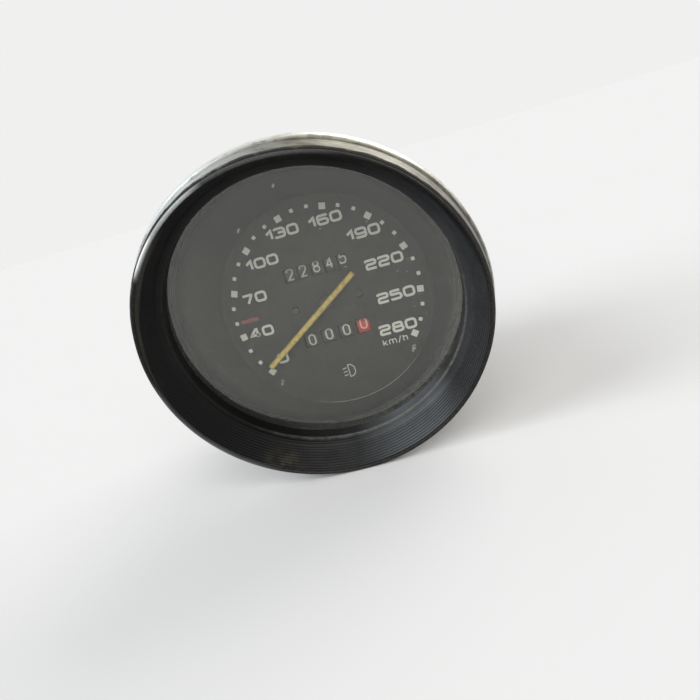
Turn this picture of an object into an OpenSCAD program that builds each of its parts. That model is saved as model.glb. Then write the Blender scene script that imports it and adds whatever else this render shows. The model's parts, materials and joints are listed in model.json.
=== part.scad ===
// Round car speedometer with a total odometer and a trip odometer in its dial.
// +Y runs into the instrument along the can's axis, X is to the right seen from the front, Z is up.
// The origin is the centre of the can's mouth. All sizes are millimetres and degrees.

/* [Can] */
// Outside radius of the can
can_r = 50; // [49.8:0.1:50.2]
// Wall thickness of the can
can_wall = 1; // [0.8:0.1:1]
// Length of the can from its mouth to its back face
can_len = 84; // [84:1:88]

/* [Hood] */
// Outside radius of the hood's rim
rim_r = 57.8; // [57.6:0.1:58]
// Lean of the hood and the glass against the can
lean = 15; // [14:0.5:15.5]
// Distance from the centre of the rim to the face of the dial
rim_to_dial = 44; // [43:0.5:45]
// Distance from the centre of the rim down from the can's axis
rim_drop = 0.5; // [0:0.1:1]
// Number of fine ribs in the hood's cone
rib_count = 9; // [8:1:10]
// Depth of the grooves between the ribs
rib_depth = 0.4; // [0.3:0.02:0.44]
// Radius of the glass that shows
glass_view_r = 49.4; // [49.2:0.1:49.6]
// Depth of the glass behind the rim
glass_depth = 15.6; // [15.4:0.1:15.9]

/* [Dial] */
// Depth of the dial's face behind the can's mouth
dial_y = 8; // [7.8:0.1:8.5]
// Radius of the dial that shows inside the light baffle
dial_view_r = 39.3; // [38.5:0.1:40]
// Length of the pointer from the spindle to its tip
pointer_len = 32.7; // [30:0.1:34]
// Length of the pointer's tail
pointer_tail = 15; // [12:0.1:16]
// Width of the pointer
pointer_w = 2.2; // [1.8:0.1:2.6]
// Angle of the resting pointer, anticlockwise from straight up
pointer_rest = 123.2; // [122:0.1:126]

/* [Odometers] */
// Radius of the drums
drum_r = 8.9; // [8.8:0.05:8.95]
// Height of the total row above the can's axis
total_z = 12; // [11.8:0.1:12.2]
// Distance between the total drums
total_pitch = 5.1; // [5:0.05:5.15]
// Middle of the total row's drums, to the right of the axis
total_x = -0.6; // [-0.9:0.1:-0.4]
// Drop of the trip row below the can's axis
trip_drop = 13.25; // [13:0.05:13.5]
// Distance between the trip drums
trip_pitch = 6.75; // [6.6:0.05:6.8]

/* [Gears] */
// Module of the gears outside the right plate
train_m = 0.55; // [0.54:0.01:0.56]
// Module of the carry gears between the drums
carry_m = 0.8; // [0.79:0.01:0.8]
// Radial clearance of a shaft in its bearing
run_fit = 0.05; // [0.03:0.01:0.06]

/* [Hidden] */
$fn = 96;

// Can and hood
can_in = can_r - can_wall;
rim_y = dial_y - rim_to_dial;
lip_t = 1.3;
cone_front_r = rim_r - 1.25;
cone_back_r = rim_r - 5.5;
cone_front = 1.1;
cone_back = 10.9;
cone_plain = 0.8;
ledge_r = glass_view_r + 0.6;
ledge_depth = 11.4;
glass_t = 2;
glass_r = glass_view_r + 1.3;
pocket_r = glass_r + 0.3;
gasket_t = 1.3;
hood_depth = glass_depth + glass_t + gasket_t;
band_seat_r = rim_r - 0.3;
band_front = 1.9;
band_groove = 8.8;
band_back = 14.4;
bead_r = rim_r + 1.9;
collar_r = can_r + 2.5;
flange_r = can_r + 4;
spigot_len = 4;
collar_bore = can_in - 1.6;
collar_front = -60;
flange_t = 1.2;
relief_w = 1.3;
relief_depth = 0.3;

// Dial and what stands behind it
dial_t = 1;
dial_r = 46.8;
dial_back = dial_y + dial_t;
window_h = 5.2;
window_gap = 0.3;
window_up = 0.5;
baffle_t = 1.2;
screw_x = 12.2;
screw_z = -0.5;
screw_r = 1.5;
screw_thread_r = 1;
beam_x = 0.6;
beam_z = -27.9;
guide_r = 3.3;
guide_end = dial_y + 60.5;
drum_y = dial_y + 10.6;
bridge_y = dial_y + 2.5;
bridge_t = 2;
bush_r = 2;
base_y = dial_y + 37.5;
base_t = 1.5;
base_r = 47;
plate_x = 14.2;
plate_t = 1.2;
board_y = dial_y + 63;
board_t = 1.4;
board_r = 29;
board_z = 10;
back_in = can_len - can_wall;

// Odometer drums and carry pinions
trip_z = -trip_drop;
spindle_r = 1.2;
shaft_r = 1;
total_band = 3.2;
trip_band = 4.6;
ring_w = 1.2;
hub_r = 2.2;
disc_r = 6.5;
disc_t = 0.3;
drum_gap = 0.1;
ring_teeth = 20;
pinion_teeth = 8;
pinion_in = 0.8;
pinion_y = drum_y + (ring_teeth + pinion_teeth) * carry_m / 2;
function total_at(i) = total_x + (i - 3) * total_pitch;
function trip_at(i) = (i - 2.5) * trip_pitch;

// Gear train outside the right plate
total_teeth = 32;
trip_teeth = 16;
big_teeth = 40;
idler_teeth = 8;
motor_teeth = 10;
row_gap = total_z - trip_z;
reach_total = (total_teeth + idler_teeth) * train_m / 2;
reach_trip = (big_teeth + trip_teeth) * train_m / 2;
reach_motor = (big_teeth + motor_teeth) * train_m / 2;
idler_down = (pow(reach_total, 2) - pow(reach_trip, 2) + pow(row_gap, 2)) / (2 * row_gap);
idler_y = drum_y + sqrt(pow(reach_total, 2) - pow(idler_down, 2));
idler_z = total_z - idler_down;
motor_y = idler_y + reach_motor;
near_plane = plate_x + plate_t + 1;
far_plane = near_plane + 2.8;
gear_w = 1.8;
wheel_w = 1.6;
bracket_x = far_plane + wheel_w + 0.4;
bracket_t = 1;
bracket_h = 18;
stub_r = 0.8;
motor_r = 7.5;
motor_end = bracket_x + bracket_t + 11;
motor_shaft_r = 0.75;

// Trip reset
reset_x = -20.9;
bevel_teeth = 12;
bevel_m = 0.6;
bevel_r = bevel_teeth * bevel_m / 2;
bevel_face = 1.3;
bevel_hub_r = 2.4;
knob_y = can_len + 6;
knob_r = 5.2;
knob_len = 11;
knob_lobes = 28;

// Pointer movement
needle_r = 0.75;
needle_y = dial_y - 4.6;
needle_t = 0.8;
boss_r = 2.5;
boss_end = dial_y - 1.3;
housing_r = 14;
housing_t = 1;
housing_end = dial_y + 58;
bearing_r = 2.2;
magnet_r = 6.5;
magnet_back = housing_end - 5;
magnet_len = 8;
coil_r = housing_r - 1.3;

// Back of the can
stud_x = 26;
stud_r = 2.5;
stud_root_r = 3;
stud_root_end = can_len + 6;
stud_head_r = 5;
stud_head_t = 3;
stud_end = can_len + 21;
washer_r = 6.2;
washer_t = 1;
nut_r = 5.6;
nut_t = 4.4;
lamp_places = [[-30, -26], [30, -26], [beam_x, beam_z]];
lamp_r = 6.4;
bulb_r = 2.5;
holder_rim_r = 7.2;
holder_rim_t = 1.4;
holder_r = 5.6;
holder_end = can_len + 6;
blade_t = 0.5;
blade_w = 2.8;
blade_len = 7;
pillar_places = [[0, 42.5], [-38, 12], [38, 12], [16, -39]];
pillar_r = 3;
pillar_screw_r = 1.5;
pillar_head_r = 2.8;
pillar_head_t = 1.8;
terminal_z = 24;
terminal_xs = [-9, -3, 3, 9];
terminal_t = 0.8;
terminal_w = 4.8;
terminal_len = 17;
block_slot = [24, 7];
block_size = [28, 10];
block_t = 4;

// A solid of revolution about the Y axis, from points of radius and depth
module turn_y(points) {
    rotate([-90, 0, 0]) rotate_extrude() polygon(points);
}

// A round bar along Y
module disc_y(r, y0, y1, x = 0, z = 0) {
    translate([x, y0, z]) rotate([-90, 0, 0]) cylinder(r = r, h = y1 - y0);
}

// A round bar along X
module rod_x(r, x0, x1, y, z) {
    translate([x0, y, z]) rotate([0, 90, 0]) cylinder(r = r, h = x1 - x0);
}

// A flat shape in X and Z, given thickness along Y
module plate_y(y0, y1) {
    translate([0, y1, 0]) rotate([90, 0, 0]) linear_extrude(y1 - y0) children();
}

// A flat shape in Y and Z, given thickness along X
module plate_across(x0, x1) {
    translate([x0, 0, 0]) rotate([90, 0, 90]) linear_extrude(x1 - x0) children();
}

// The hood's own frame: its Y axis leans with the glass and starts at the rim
module leaned() {
    translate([0, rim_y, -rim_drop]) rotate([lean, 0, 0]) children();
}

// One tooth's six points round the pitch circle
function tooth(n, m, a) = let (
        r = n * m / 2,
        half = 0.4 * 180 / n
    ) [
        for (p = [[-1.1, -1.25], [0, -1], [0.8, -0.5], [0.8, 0.5], [0, 1], [-1.1, 1.25]])
            (r + p[0] * m) * [cos(a + p[1] * half), sin(a + p[1] * half)]
    ];

// A gear's flat outline, with one tooth centred on the angle phase
module gear_outline(n, m, phase) {
    polygon([for (k = [0 : n - 1]) each tooth(n, m, phase + 360 * k / n)]);
}

// Phase of a gear that meshes with another one, n1 teeth at phase p1, towards the angle phi
function mesh_phase(n1, n2, p1, phi) = phi + 180 - (p1 - phi) * n1 / n2 - 180 / n2;

// A spur gear whose axis runs along X
module spur(n, m, phase, x0, w, y, z) {
    translate([0, y, z]) plate_across(x0, x0 + w) gear_outline(n, m, phase);
}

// Steel can with a closed back, open to the hood
module can() {
    color([0.62, 0.62, 0.6]) difference() {
        turn_y([[0, can_len], [can_r - 1, can_len], [can_r, can_len - 1], [can_r, 0], [can_in, 0],
            [can_in, back_in], [0, back_in]]);
        for (p = lamp_places) disc_y(lamp_r, back_in - 1, can_len + 1, p[0], p[1]);
        for (p = pillar_places) disc_y(pillar_screw_r, back_in - 1, can_len + 1, p[0], p[1]);
        for (s = [-1, 1]) disc_y(stud_root_r, back_in - 1, can_len + 1, s * stud_x);
        disc_y(spindle_r + run_fit, back_in - 1, can_len + 1, reset_x, trip_z);
        plate_y(back_in - 1, can_len + 1) translate([0, terminal_z]) square(block_slot, center = true);
    }
}

// Collar that joins the straight can to the leaning hood. A relief groove parts its panel face
// from the seat of the can's mouth
module wedge_collar() {
    color([0.1, 0.1, 0.11]) difference() {
        union() {
            intersection() {
                disc_y(collar_r, collar_front, 0, 0, collar_r - can_r);
                leaned() translate([-80, hood_depth, -80]) cube([160, 120, 160]);
            }
            disc_y(flange_r, -flange_t, 0);
            disc_y(can_in - run_fit, -1, spigot_len);
        }
        hull() {
            leaned() disc_y(glass_view_r - 1, hood_depth - 0.3, hood_depth - 0.2);
            disc_y(collar_bore, spigot_len + 0.1, spigot_len + 0.2);
        }
        leaned() disc_y(rim_r, 0, hood_depth);
        difference() {
            disc_y(can_r + relief_w, -relief_depth, 1);
            disc_y(can_r, -1, 2);
        }
    }
}

// Radius of the hood's cone at a depth behind the rim
function cone_r(d) = cone_front_r + (cone_back_r - cone_front_r) * (d - cone_front) / (cone_back - cone_front);

// Ribbed hood, from its lip down to the glass
module hood_bezel() {
    rib = (cone_back - cone_plain - cone_front) / rib_count;
    ribs = [for (i = [rib_count - 1 : -1 : 0]) each [
        [cone_r(cone_front + (i + 0.9) * rib) + rib_depth, cone_front + (i + 0.9) * rib],
        [cone_r(cone_front + (i + 0.65) * rib), cone_front + (i + 0.65) * rib],
        [cone_r(cone_front + (i + 0.35) * rib), cone_front + (i + 0.35) * rib],
        [cone_r(cone_front + (i + 0.1) * rib) + rib_depth, cone_front + (i + 0.1) * rib]
    ]];
    color([0.07, 0.07, 0.08]) leaned() turn_y(concat([
        [rim_r - 0.4, 0], [rim_r, 0.4], [rim_r, lip_t], [band_seat_r, lip_t], [band_seat_r, band_back],
        [rim_r - 1.5, band_back], [rim_r - 1.5, hood_depth], [pocket_r, hood_depth],
        [pocket_r, glass_depth], [glass_view_r, glass_depth], [glass_view_r + 0.7, ledge_depth + 1],
        [glass_view_r + 0.4, ledge_depth + 0.7], [glass_view_r + 0.4, ledge_depth + 0.2],
        [ledge_r, ledge_depth - 0.1], [ledge_r + 1.6, ledge_depth - 0.2],
        [ledge_r + 1.9, ledge_depth - 0.5], [cone_back_r - 0.1, cone_back],
        [cone_r(cone_back - cone_plain + 0.15), cone_back - cone_plain + 0.15]
    ], ribs, [
        [cone_front_r, cone_front - 0.1], [cone_front_r + 0.1, cone_front - 0.6], [cone_front_r + 0.5, 0.1]
    ]));
}

// Metal band round the hood, plain in front and beaded behind
module trim_band() {
    bead_rise = (bead_r - band_seat_r) / 2;
    bead_mid = (band_groove + band_back) / 2 + 0.4;
    color([0.8, 0.8, 0.77]) leaned() turn_y(concat([
        [band_seat_r + 0.02, band_back], [band_seat_r + 0.02, band_front],
        [rim_r + 0.35, band_front], [rim_r + 0.7, band_front + 0.4], [rim_r + 0.95, band_groove - 0.4],
        [rim_r + 0.6, band_groove - 0.1], [rim_r + 0.6, band_groove + 0.2]
    ], [
        for (a = [150 : -15 : 0])
            [bead_r - bead_rise + bead_rise * sin(a), bead_mid - (band_back - bead_mid) * cos(180 - a)]
    ]));
}

module glass() {
    color([0.8, 0.85, 0.85, 0.3]) leaned() disc_y(glass_r, glass_depth, glass_depth + glass_t);
}

// Rubber ring between the glass and the collar
module glass_gasket() {
    color([0.05, 0.05, 0.05]) leaned() difference() {
        disc_y(glass_r, glass_depth + glass_t, hood_depth);
        disc_y(glass_view_r - 1.2, glass_depth, hood_depth + 1);
    }
}

// Smooth dark wall between the glass and the dial
module light_baffle() {
    inner_r = glass_view_r - 2.4;
    color([0.06, 0.06, 0.06]) difference() {
        union() {
            hull() {
                leaned() disc_y(inner_r + 0.9, hood_depth, hood_depth + 0.1);
                disc_y(dial_view_r + 4.5, dial_y - baffle_t, dial_y);
            }
            disc_y(dial_r - 0.4, dial_y - baffle_t, dial_y);
        }
        hull() {
            leaned() disc_y(inner_r, hood_depth - 0.1, hood_depth);
            disc_y(dial_view_r, dial_y, dial_y + 0.1);
        }
    }
}

// Dial plate with a window in front of each drum
module dial() {
    color([0.09, 0.09, 0.09]) difference() {
        disc_y(dial_r, dial_y, dial_back);
        disc_y(needle_r + 0.9, dial_y - 1, dial_back + 1);
        for (s = [-1, 1]) disc_y(screw_thread_r + 0.1, dial_y - 1, dial_back + 1, s * screw_x, screw_z);
        disc_y(guide_r, dial_y - 1, dial_back + 1, beam_x, beam_z);
        plate_y(dial_y - 1, dial_back + 1) {
            for (i = [1 : 5]) translate([total_at(i), total_z + window_up])
                square([total_band + 2 * window_gap, window_h], center = true);
            for (i = [1 : 4]) translate([trip_at(i), trip_z + window_up])
                square([trip_band + 2 * window_gap, window_h], center = true);
        }
    }
}

// Two slotted screws that hold the dial to the bridge
module dial_screws() {
    color([0.12, 0.12, 0.12]) for (s = [-1, 1]) translate([s * screw_x, 0, screw_z]) difference() {
        turn_y([[0, dial_y - 1], [screw_r - 0.3, dial_y - 1], [screw_r, dial_y - 0.7], [screw_r, dial_y],
            [screw_thread_r - 0.02, dial_y], [screw_thread_r - 0.02, bridge_y + bridge_t - 0.2],
            [0, bridge_y + bridge_t - 0.2]]);
        translate([-2, dial_y - 1.1, -0.2]) cube([4, 0.5, 0.4]);
    }
}

// Clear rod that carries the lamp's light to the high-beam sign
module beam_light_guide() {
    color([0.3, 0.4, 0.7, 0.6]) disc_y(guide_r - 0.02, dial_y + 0.1, guide_end, beam_x, beam_z);
}

// Flat blade of the pointer
module pointer() {
    color([0.85, 0.72, 0.3]) rotate([0, -pointer_rest, 0]) plate_y(needle_y, needle_y + needle_t)
        polygon([[-pointer_w / 2, -pointer_tail], [pointer_w / 2, -pointer_tail],
            [pointer_w / 2, pointer_len - 0.3], [pointer_w / 2 - 0.3, pointer_len],
            [-pointer_w / 2 + 0.3, pointer_len], [-pointer_w / 2, pointer_len - 0.3]]);
}

// Dark boss under the blade, pushed on the spindle
module pointer_boss() {
    top = needle_y + needle_t;
    color([0.08, 0.08, 0.08]) turn_y([[needle_r, top], [boss_r - 0.3, top], [boss_r, top + 0.3],
        [boss_r, boss_end], [needle_r + 0.6, boss_end], [needle_r + 0.6, boss_end + 0.9],
        [needle_r, boss_end + 0.9]]);
}

module pointer_spindle() {
    color([0.75, 0.75, 0.72]) disc_y(needle_r, needle_y + needle_t, housing_end + 0.8);
}

// Magnet that turns with the pointer
module rotor_magnet() {
    color([0.3, 0.3, 0.32]) turn_y([[needle_r, magnet_back - magnet_len], [magnet_r, magnet_back - magnet_len],
        [magnet_r, magnet_back], [2, magnet_back], [2, magnet_back + 2.6], [needle_r, magnet_back + 2.6]]);
}

// Flat spiral spring that brings the pointer back
module hairspring() {
    turns = 3.5;
    start = 2.1;
    finish = 5.6;
    steps = 84;
    function spiral(k, half) = let (a = 360 * turns * k / steps, r = start + (finish - start) * k / steps + half)
        r * [cos(a), sin(a)];
    color([0.7, 0.55, 0.3]) plate_y(housing_end - 3.6, housing_end - 3)
        polygon(concat([for (k = [0 : steps]) spiral(k, -0.08)], [for (k = [steps : -1 : 0]) spiral(k, 0.08)]));
}

// Bridge between the side plates that carries the dial and the spindle's front bush
module front_bridge() {
    color([0.7, 0.7, 0.68]) difference() {
        union() {
            translate([-plate_x, bridge_y, -3.6]) cube([2 * plate_x, bridge_t, 6.6]);
            for (s = [-1, 1]) disc_y(screw_thread_r + 0.9, dial_back, bridge_y + bridge_t, s * screw_x, screw_z);
        }
        for (s = [-1, 1])
            disc_y(screw_thread_r, dial_back - 1, bridge_y + bridge_t + 1, s * screw_x, screw_z);
        disc_y(bush_r, bridge_y - 1, bridge_y + bridge_t + 1);
    }
}

module front_bush() {
    color([0.75, 0.6, 0.3]) difference() {
        disc_y(bush_r, bridge_y - 0.4, bridge_y + bridge_t + 0.5);
        disc_y(needle_r + run_fit, bridge_y - 1, bridge_y + bridge_t + 1);
    }
}

// Outline of a side plate of the odometer frame
module plate_outline() {
    difference() {
        polygon([[bridge_y, -5], [bridge_y, 4.5], [drum_y - 4, 19], [drum_y + 6, 19], [pinion_y + 5, 16],
            [base_y - 4, 12], [base_y, 12], [base_y, -12], [base_y - 4, -12], [pinion_y + 5, -17],
            [drum_y + 6, -20], [drum_y - 4, -20]]);
        translate([base_y - 7, 0]) square([5, 13], center = true);
        translate([pinion_y, total_z]) circle(shaft_r);
        translate([pinion_y, trip_z]) circle(shaft_r);
        translate([drum_y, total_z]) circle(spindle_r + run_fit);
    }
}

module left_plate() {
    color([0.72, 0.72, 0.7]) difference() {
        plate_across(-plate_x - plate_t, -plate_x) plate_outline();
        rod_x(spindle_r + run_fit, -plate_x - 5, -plate_x + 5, drum_y, trip_z);
    }
}

// The right plate also carries the riveted stub that the idler turns on
module right_plate() {
    color([0.72, 0.72, 0.7]) {
        difference() {
            plate_across(plate_x, plate_x + plate_t) plate_outline();
            rod_x(hub_r + run_fit, plate_x - 5, plate_x + 5, drum_y, trip_z);
        }
        rod_x(stub_r, plate_x + 0.5, far_plane + wheel_w + 0.2, idler_y, idler_z);
        rod_x(1.6, plate_x + plate_t, near_plane - 0.2, idler_y, idler_z);
    }
}

// Main plate across the can, with a tab bent up for the motor
module base_plate() {
    color([0.72, 0.72, 0.7]) difference() {
        union() {
            disc_y(base_r, base_y, base_y + base_t);
            translate([bracket_x, motor_y - motor_r - 1, idler_z - bracket_h / 2])
                cube([bracket_t, base_y - motor_y + motor_r + 1, bracket_h]);
        }
        rod_x(motor_shaft_r + 0.3, bracket_x - 1, bracket_x + 2, motor_y, idler_z);
        disc_y(1.6, base_y - 1, base_y + base_t + 1);
        for (i = [0, 1]) disc_y(6, base_y - 1, base_y + base_t + 1, lamp_places[i][0], lamp_places[i][1]);
        disc_y(guide_r, base_y - 1, base_y + base_t + 1, beam_x, beam_z);
        disc_y(spindle_r + run_fit, base_y - 1, base_y + base_t + 1, reset_x, trip_z);
    }
}

// Spindle that turns with the units drum and its gear
module total_spindle() {
    color([0.75, 0.75, 0.72]) rod_x(spindle_r, -plate_x - 1.7, near_plane + gear_w + 0.5, drum_y, total_z);
}

// Spindle that the reset turns inside the trip drums
module trip_spindle() {
    color([0.75, 0.75, 0.72])
        rod_x(spindle_r, reset_x + bevel_r - bevel_face, far_plane + wheel_w + 0.2, drum_y, trip_z);
}

module pinion_shafts() {
    color([0.75, 0.75, 0.72]) for (z = [total_z, trip_z])
        rod_x(shaft_r, -plate_x - plate_t, plate_x + plate_t, pinion_y, z);
}

// A drum: printed band, gear ring on its right, narrow disc on its left, and a hub that sets the pitch
module drum(x, z, band, hub_w, bore, ring) {
    left = x - band / 2;
    difference() {
        union() {
            rod_x(drum_r, left, x + band / 2, drum_y, z);
            rod_x(disc_r, left - disc_t, left, drum_y, z);
            rod_x(hub_r, left - disc_t, left - disc_t + hub_w, drum_y, z);
            if (ring) spur(ring_teeth, carry_m, 0, x + band / 2, ring_w, drum_y, z);
        }
        rod_x(bore, left - 1, left + hub_w + 1, drum_y, z);
    }
}

module total_drum(i) {
    color([0.06, 0.06, 0.06]) drum(total_at(i), total_z, total_band,
        i < 5 ? total_pitch - drum_gap : plate_x - drum_gap - total_at(5) + total_band / 2 + disc_t,
        i < 5 ? spindle_r + run_fit : spindle_r, i < 5);
}

module trip_drum(i) {
    color(i < 4 ? [0.06, 0.06, 0.06] : [0.75, 0.1, 0.08]) drum(trip_at(i), trip_z, trip_band,
        i < 4 ? trip_pitch - drum_gap : trip_band + disc_t, spindle_r + run_fit, i < 4);
}

// A carry pinion behind the gear ring of one drum
module carry_pinion(x, z, pitch) {
    hub = pitch - 0.3;
    color([0.85, 0.85, 0.8]) difference() {
        union() {
            spur(pinion_teeth, carry_m, mesh_phase(ring_teeth, pinion_teeth, 0, 0), x - ring_w / 2, ring_w,
                pinion_y, z);
            rod_x(shaft_r + 0.8, x - hub / 2, x + hub / 2, pinion_y, z);
        }
        rod_x(shaft_r + run_fit, x - pitch, x + pitch, pinion_y, z);
    }
}

module total_pinion(i) {
    carry_pinion(total_at(i) + total_band / 2 + pinion_in, total_z, total_pitch);
}

module trip_pinion(i) {
    carry_pinion(trip_at(i) + trip_band / 2 + pinion_in, trip_z, trip_pitch);
}

// Large gear on the end of the total spindle
module total_gear() {
    color([0.85, 0.85, 0.8]) difference() {
        union() {
            spur(total_teeth, train_m, 0, near_plane, gear_w, drum_y, total_z);
            rod_x(spindle_r * 2, plate_x + plate_t + 0.3, near_plane, drum_y, total_z);
        }
        rod_x(spindle_r, plate_x, near_plane + 5, drum_y, total_z);
    }
}

// Phases round the idler, which meshes with the trip gear, the total gear and the motor
to_idler = atan2(idler_z - total_z, idler_y - drum_y);
to_trip = atan2(trip_z - idler_z, drum_y - idler_y);

// Gear on a sleeve that passes through the plate to the last trip drum
module trip_gear() {
    color([0.85, 0.85, 0.8]) difference() {
        union() {
            spur(trip_teeth, train_m, mesh_phase(big_teeth, trip_teeth, 0, to_trip), far_plane, wheel_w,
                drum_y, trip_z);
            rod_x(hub_r, trip_at(4) + trip_band / 2, far_plane, drum_y, trip_z);
        }
        rod_x(spindle_r + run_fit, 0, far_plane + 5, drum_y, trip_z);
    }
}

// Large wheel and small pinion in one piece, free on the stub
module idler_gear() {
    color([0.85, 0.85, 0.8]) difference() {
        union() {
            spur(big_teeth, train_m, 0, far_plane, wheel_w, idler_y, idler_z);
            spur(idler_teeth, train_m, mesh_phase(total_teeth, idler_teeth, 0, to_idler), near_plane,
                far_plane - near_plane, idler_y, idler_z);
        }
        rod_x(stub_r + run_fit, near_plane - 1, far_plane + 5, idler_y, idler_z);
    }
}

// Stepping motor on the bent tab
module motor() {
    color([0.65, 0.65, 0.65]) difference() {
        union() {
            rod_x(motor_r, bracket_x + bracket_t, motor_end, motor_y, idler_z);
            rod_x(motor_r - 2, motor_end, motor_end + 1.5, motor_y, idler_z);
        }
        rod_x(motor_shaft_r + run_fit, bracket_x, motor_end - 3, motor_y, idler_z);
    }
}

// Motor shaft with its pinion
module motor_pinion() {
    color([0.8, 0.65, 0.35]) {
        spur(motor_teeth, train_m, mesh_phase(big_teeth, motor_teeth, 0, 0), far_plane, wheel_w,
            motor_y, idler_z);
        rod_x(motor_shaft_r, far_plane + wheel_w, motor_end - 3.5, motor_y, idler_z);
    }
}

// A small bevel gear on the Z axis, its wide end at the origin
module bevel(phase) {
    linear_extrude(bevel_face, scale = 1 - bevel_face / bevel_r) gear_outline(bevel_teeth, bevel_m, phase);
}

// Moulded shaft with its bevel gear, from the trip row to the knob
module reset_shaft() {
    meet = drum_y + bevel_r + 0.15;
    color([0.85, 0.85, 0.8]) {
        translate([reset_x, meet, trip_z]) rotate([90, 0, 0]) bevel(180 / bevel_teeth);
        disc_y(bevel_hub_r, meet, meet + 1.2, reset_x, trip_z);
        disc_y(spindle_r, meet + 1.2, knob_y + 8, reset_x, trip_z);
    }
}

// Bevel gear on the trip spindle
module trip_bevel() {
    wide = reset_x + bevel_r;
    color([0.85, 0.85, 0.8]) difference() {
        union() {
            translate([wide, drum_y, trip_z]) rotate([90, 0, -90]) bevel(0);
            rod_x(bevel_hub_r, wide, wide + 1.3, drum_y, trip_z);
        }
        rod_x(spindle_r, wide - 5, wide + 5, drum_y, trip_z);
    }
}

// Knurled knob on the back that sets the trip drums
module reset_knob() {
    color([0.12, 0.12, 0.12]) translate([reset_x, 0, trip_z]) difference() {
        union() {
            plate_y(knob_y + 2, knob_y + knob_len) polygon([for (k = [0 : 2 * knob_lobes - 1])
                (knob_r + 0.35 * (k % 2)) * [cos(180 * k / knob_lobes), sin(180 * k / knob_lobes)]]);
            turn_y([[0, knob_y], [3, knob_y], [3.6, knob_y + 2], [0, knob_y + 2]]);
            turn_y([[0, knob_y + knob_len], [knob_r - 0.2, knob_y + knob_len],
                [knob_r - 0.8, knob_y + knob_len + 0.8], [0, knob_y + knob_len + 0.8]]);
        }
        disc_y(spindle_r, knob_y - 1, knob_y + 8);
    }
}

// Cup round the magnet and the coils, with three posts for the circuit board
module movement_housing() {
    color([0.7, 0.7, 0.68]) difference() {
        union() {
            turn_y([[housing_r, base_y + base_t], [housing_r, housing_end], [0, housing_end],
                [0, housing_end - 1.2], [housing_r - housing_t, housing_end - 1.2],
                [housing_r - housing_t, base_y + base_t]]);
            for (a = [90, 210, 330]) disc_y(1.6, housing_end, board_y, 10.5 * cos(a), 10.5 * sin(a));
        }
        disc_y(bearing_r, housing_end - 3, housing_end + 1);
    }
}

module movement_coils() {
    front = magnet_back - magnet_len - 1;
    cheek = 1.5;
    color([0.65, 0.35, 0.15]) turn_y([[magnet_r + 1, front], [coil_r, front], [coil_r, front + cheek],
        [coil_r - 0.7, front + cheek], [coil_r - 0.7, magnet_back - cheek], [coil_r, magnet_back - cheek],
        [coil_r, magnet_back], [magnet_r + 1, magnet_back]]);
}

// Screw-in bearing at the back of the spindle
module rear_bearing() {
    color([0.75, 0.6, 0.3]) difference() {
        union() {
            disc_y(bearing_r, housing_end - 1.2, housing_end);
            disc_y(bearing_r + 0.6, housing_end, housing_end + 1.6);
        }
        disc_y(needle_r + run_fit, housing_end - 2, housing_end + 1);
    }
}

module circuit_board() {
    color([0.12, 0.35, 0.18]) difference() {
        disc_y(board_r, board_y, board_y + board_t, 0, board_z);
        for (s = [-1, 1]) disc_y(1.2, board_y - 1, board_y + 2, 18 * s, board_z + 18);
    }
}

// Chips, capacitors and resistors on the back of the board
module board_parts() {
    face = board_y + board_t;
    color([0.1, 0.1, 0.1]) {
        for (x = [-9, 8]) translate([x - 5, face, board_z - 4]) cube([10, 3, 7]);
        for (x = [-16, 17]) disc_y(3.2, face, face + 7.5, x, -3);
        for (k = [0 : 4]) rod_x(0.9, -12 + 5 * k, -8.5 + 5 * k, face + 0.9, board_z - 9);
    }
}

// Pillars from the main plate to the back of the can
module pillars() {
    color([0.72, 0.72, 0.7]) for (p = pillar_places)
        disc_y(pillar_r, base_y + base_t, back_in, p[0], p[1]);
}

module pillar_screws() {
    color([0.75, 0.72, 0.6]) for (p = pillar_places) translate([p[0], 0, p[1]]) difference() {
        turn_y([[0, back_in], [pillar_screw_r - 0.02, back_in], [pillar_screw_r - 0.02, can_len],
            [pillar_head_r, can_len], [pillar_head_r, can_len + pillar_head_t - 0.6],
            [pillar_head_r - 0.5, can_len + pillar_head_t], [0, can_len + pillar_head_t]]);
        translate([-3, can_len + 1, -0.4]) cube([6, 1, 0.8]);
    }
}

// Mounting studs, with their heads inside the can and a thicker root for the nut
module studs() {
    color([0.75, 0.72, 0.6]) for (s = [-1, 1]) translate([s * stud_x, 0, 0])
        turn_y([[0, back_in - stud_head_t], [stud_head_r, back_in - stud_head_t], [stud_head_r, back_in],
            [stud_root_r, back_in], [stud_root_r, stud_root_end], [stud_r, stud_root_end + 0.3],
            [stud_r, stud_end - 0.6], [stud_r - 0.6, stud_end], [0, stud_end]]);
}

// A washer and a hexagon nut on each stud
module stud_nuts() {
    color([0.78, 0.76, 0.68]) for (s = [-1, 1]) translate([s * stud_x, 0, 0]) difference() {
        union() {
            disc_y(washer_r, can_len, can_len + washer_t);
            translate([0, can_len + washer_t, 0]) rotate([-90, 0, 0]) cylinder(r = nut_r, h = nut_t, $fn = 6);
        }
        disc_y(stud_root_r, can_len - 1, stud_root_end);
    }
}

// Twist-in lamp holders, each with two contact blades
module lamp_holders() {
    color([0.12, 0.12, 0.12]) for (p = lamp_places) translate([p[0], 0, p[1]]) difference() {
        union() {
            disc_y(lamp_r - 0.02, back_in - 4, can_len);
            disc_y(holder_rim_r, can_len, can_len + holder_rim_t);
            disc_y(holder_r, can_len + holder_rim_t, holder_end);
            translate([1 - holder_r, can_len + holder_rim_t, -1])
                cube([2 * holder_r - 2, holder_end + 2 - can_len - holder_rim_t, 2]);
            for (s = [-1, 1]) translate([3 * s - blade_t / 2, holder_end, -blade_w / 2])
                cube([blade_t, blade_len, blade_w]);
        }
        disc_y(bulb_r + 0.1, back_in - 5, can_len);
    }
}

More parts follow.
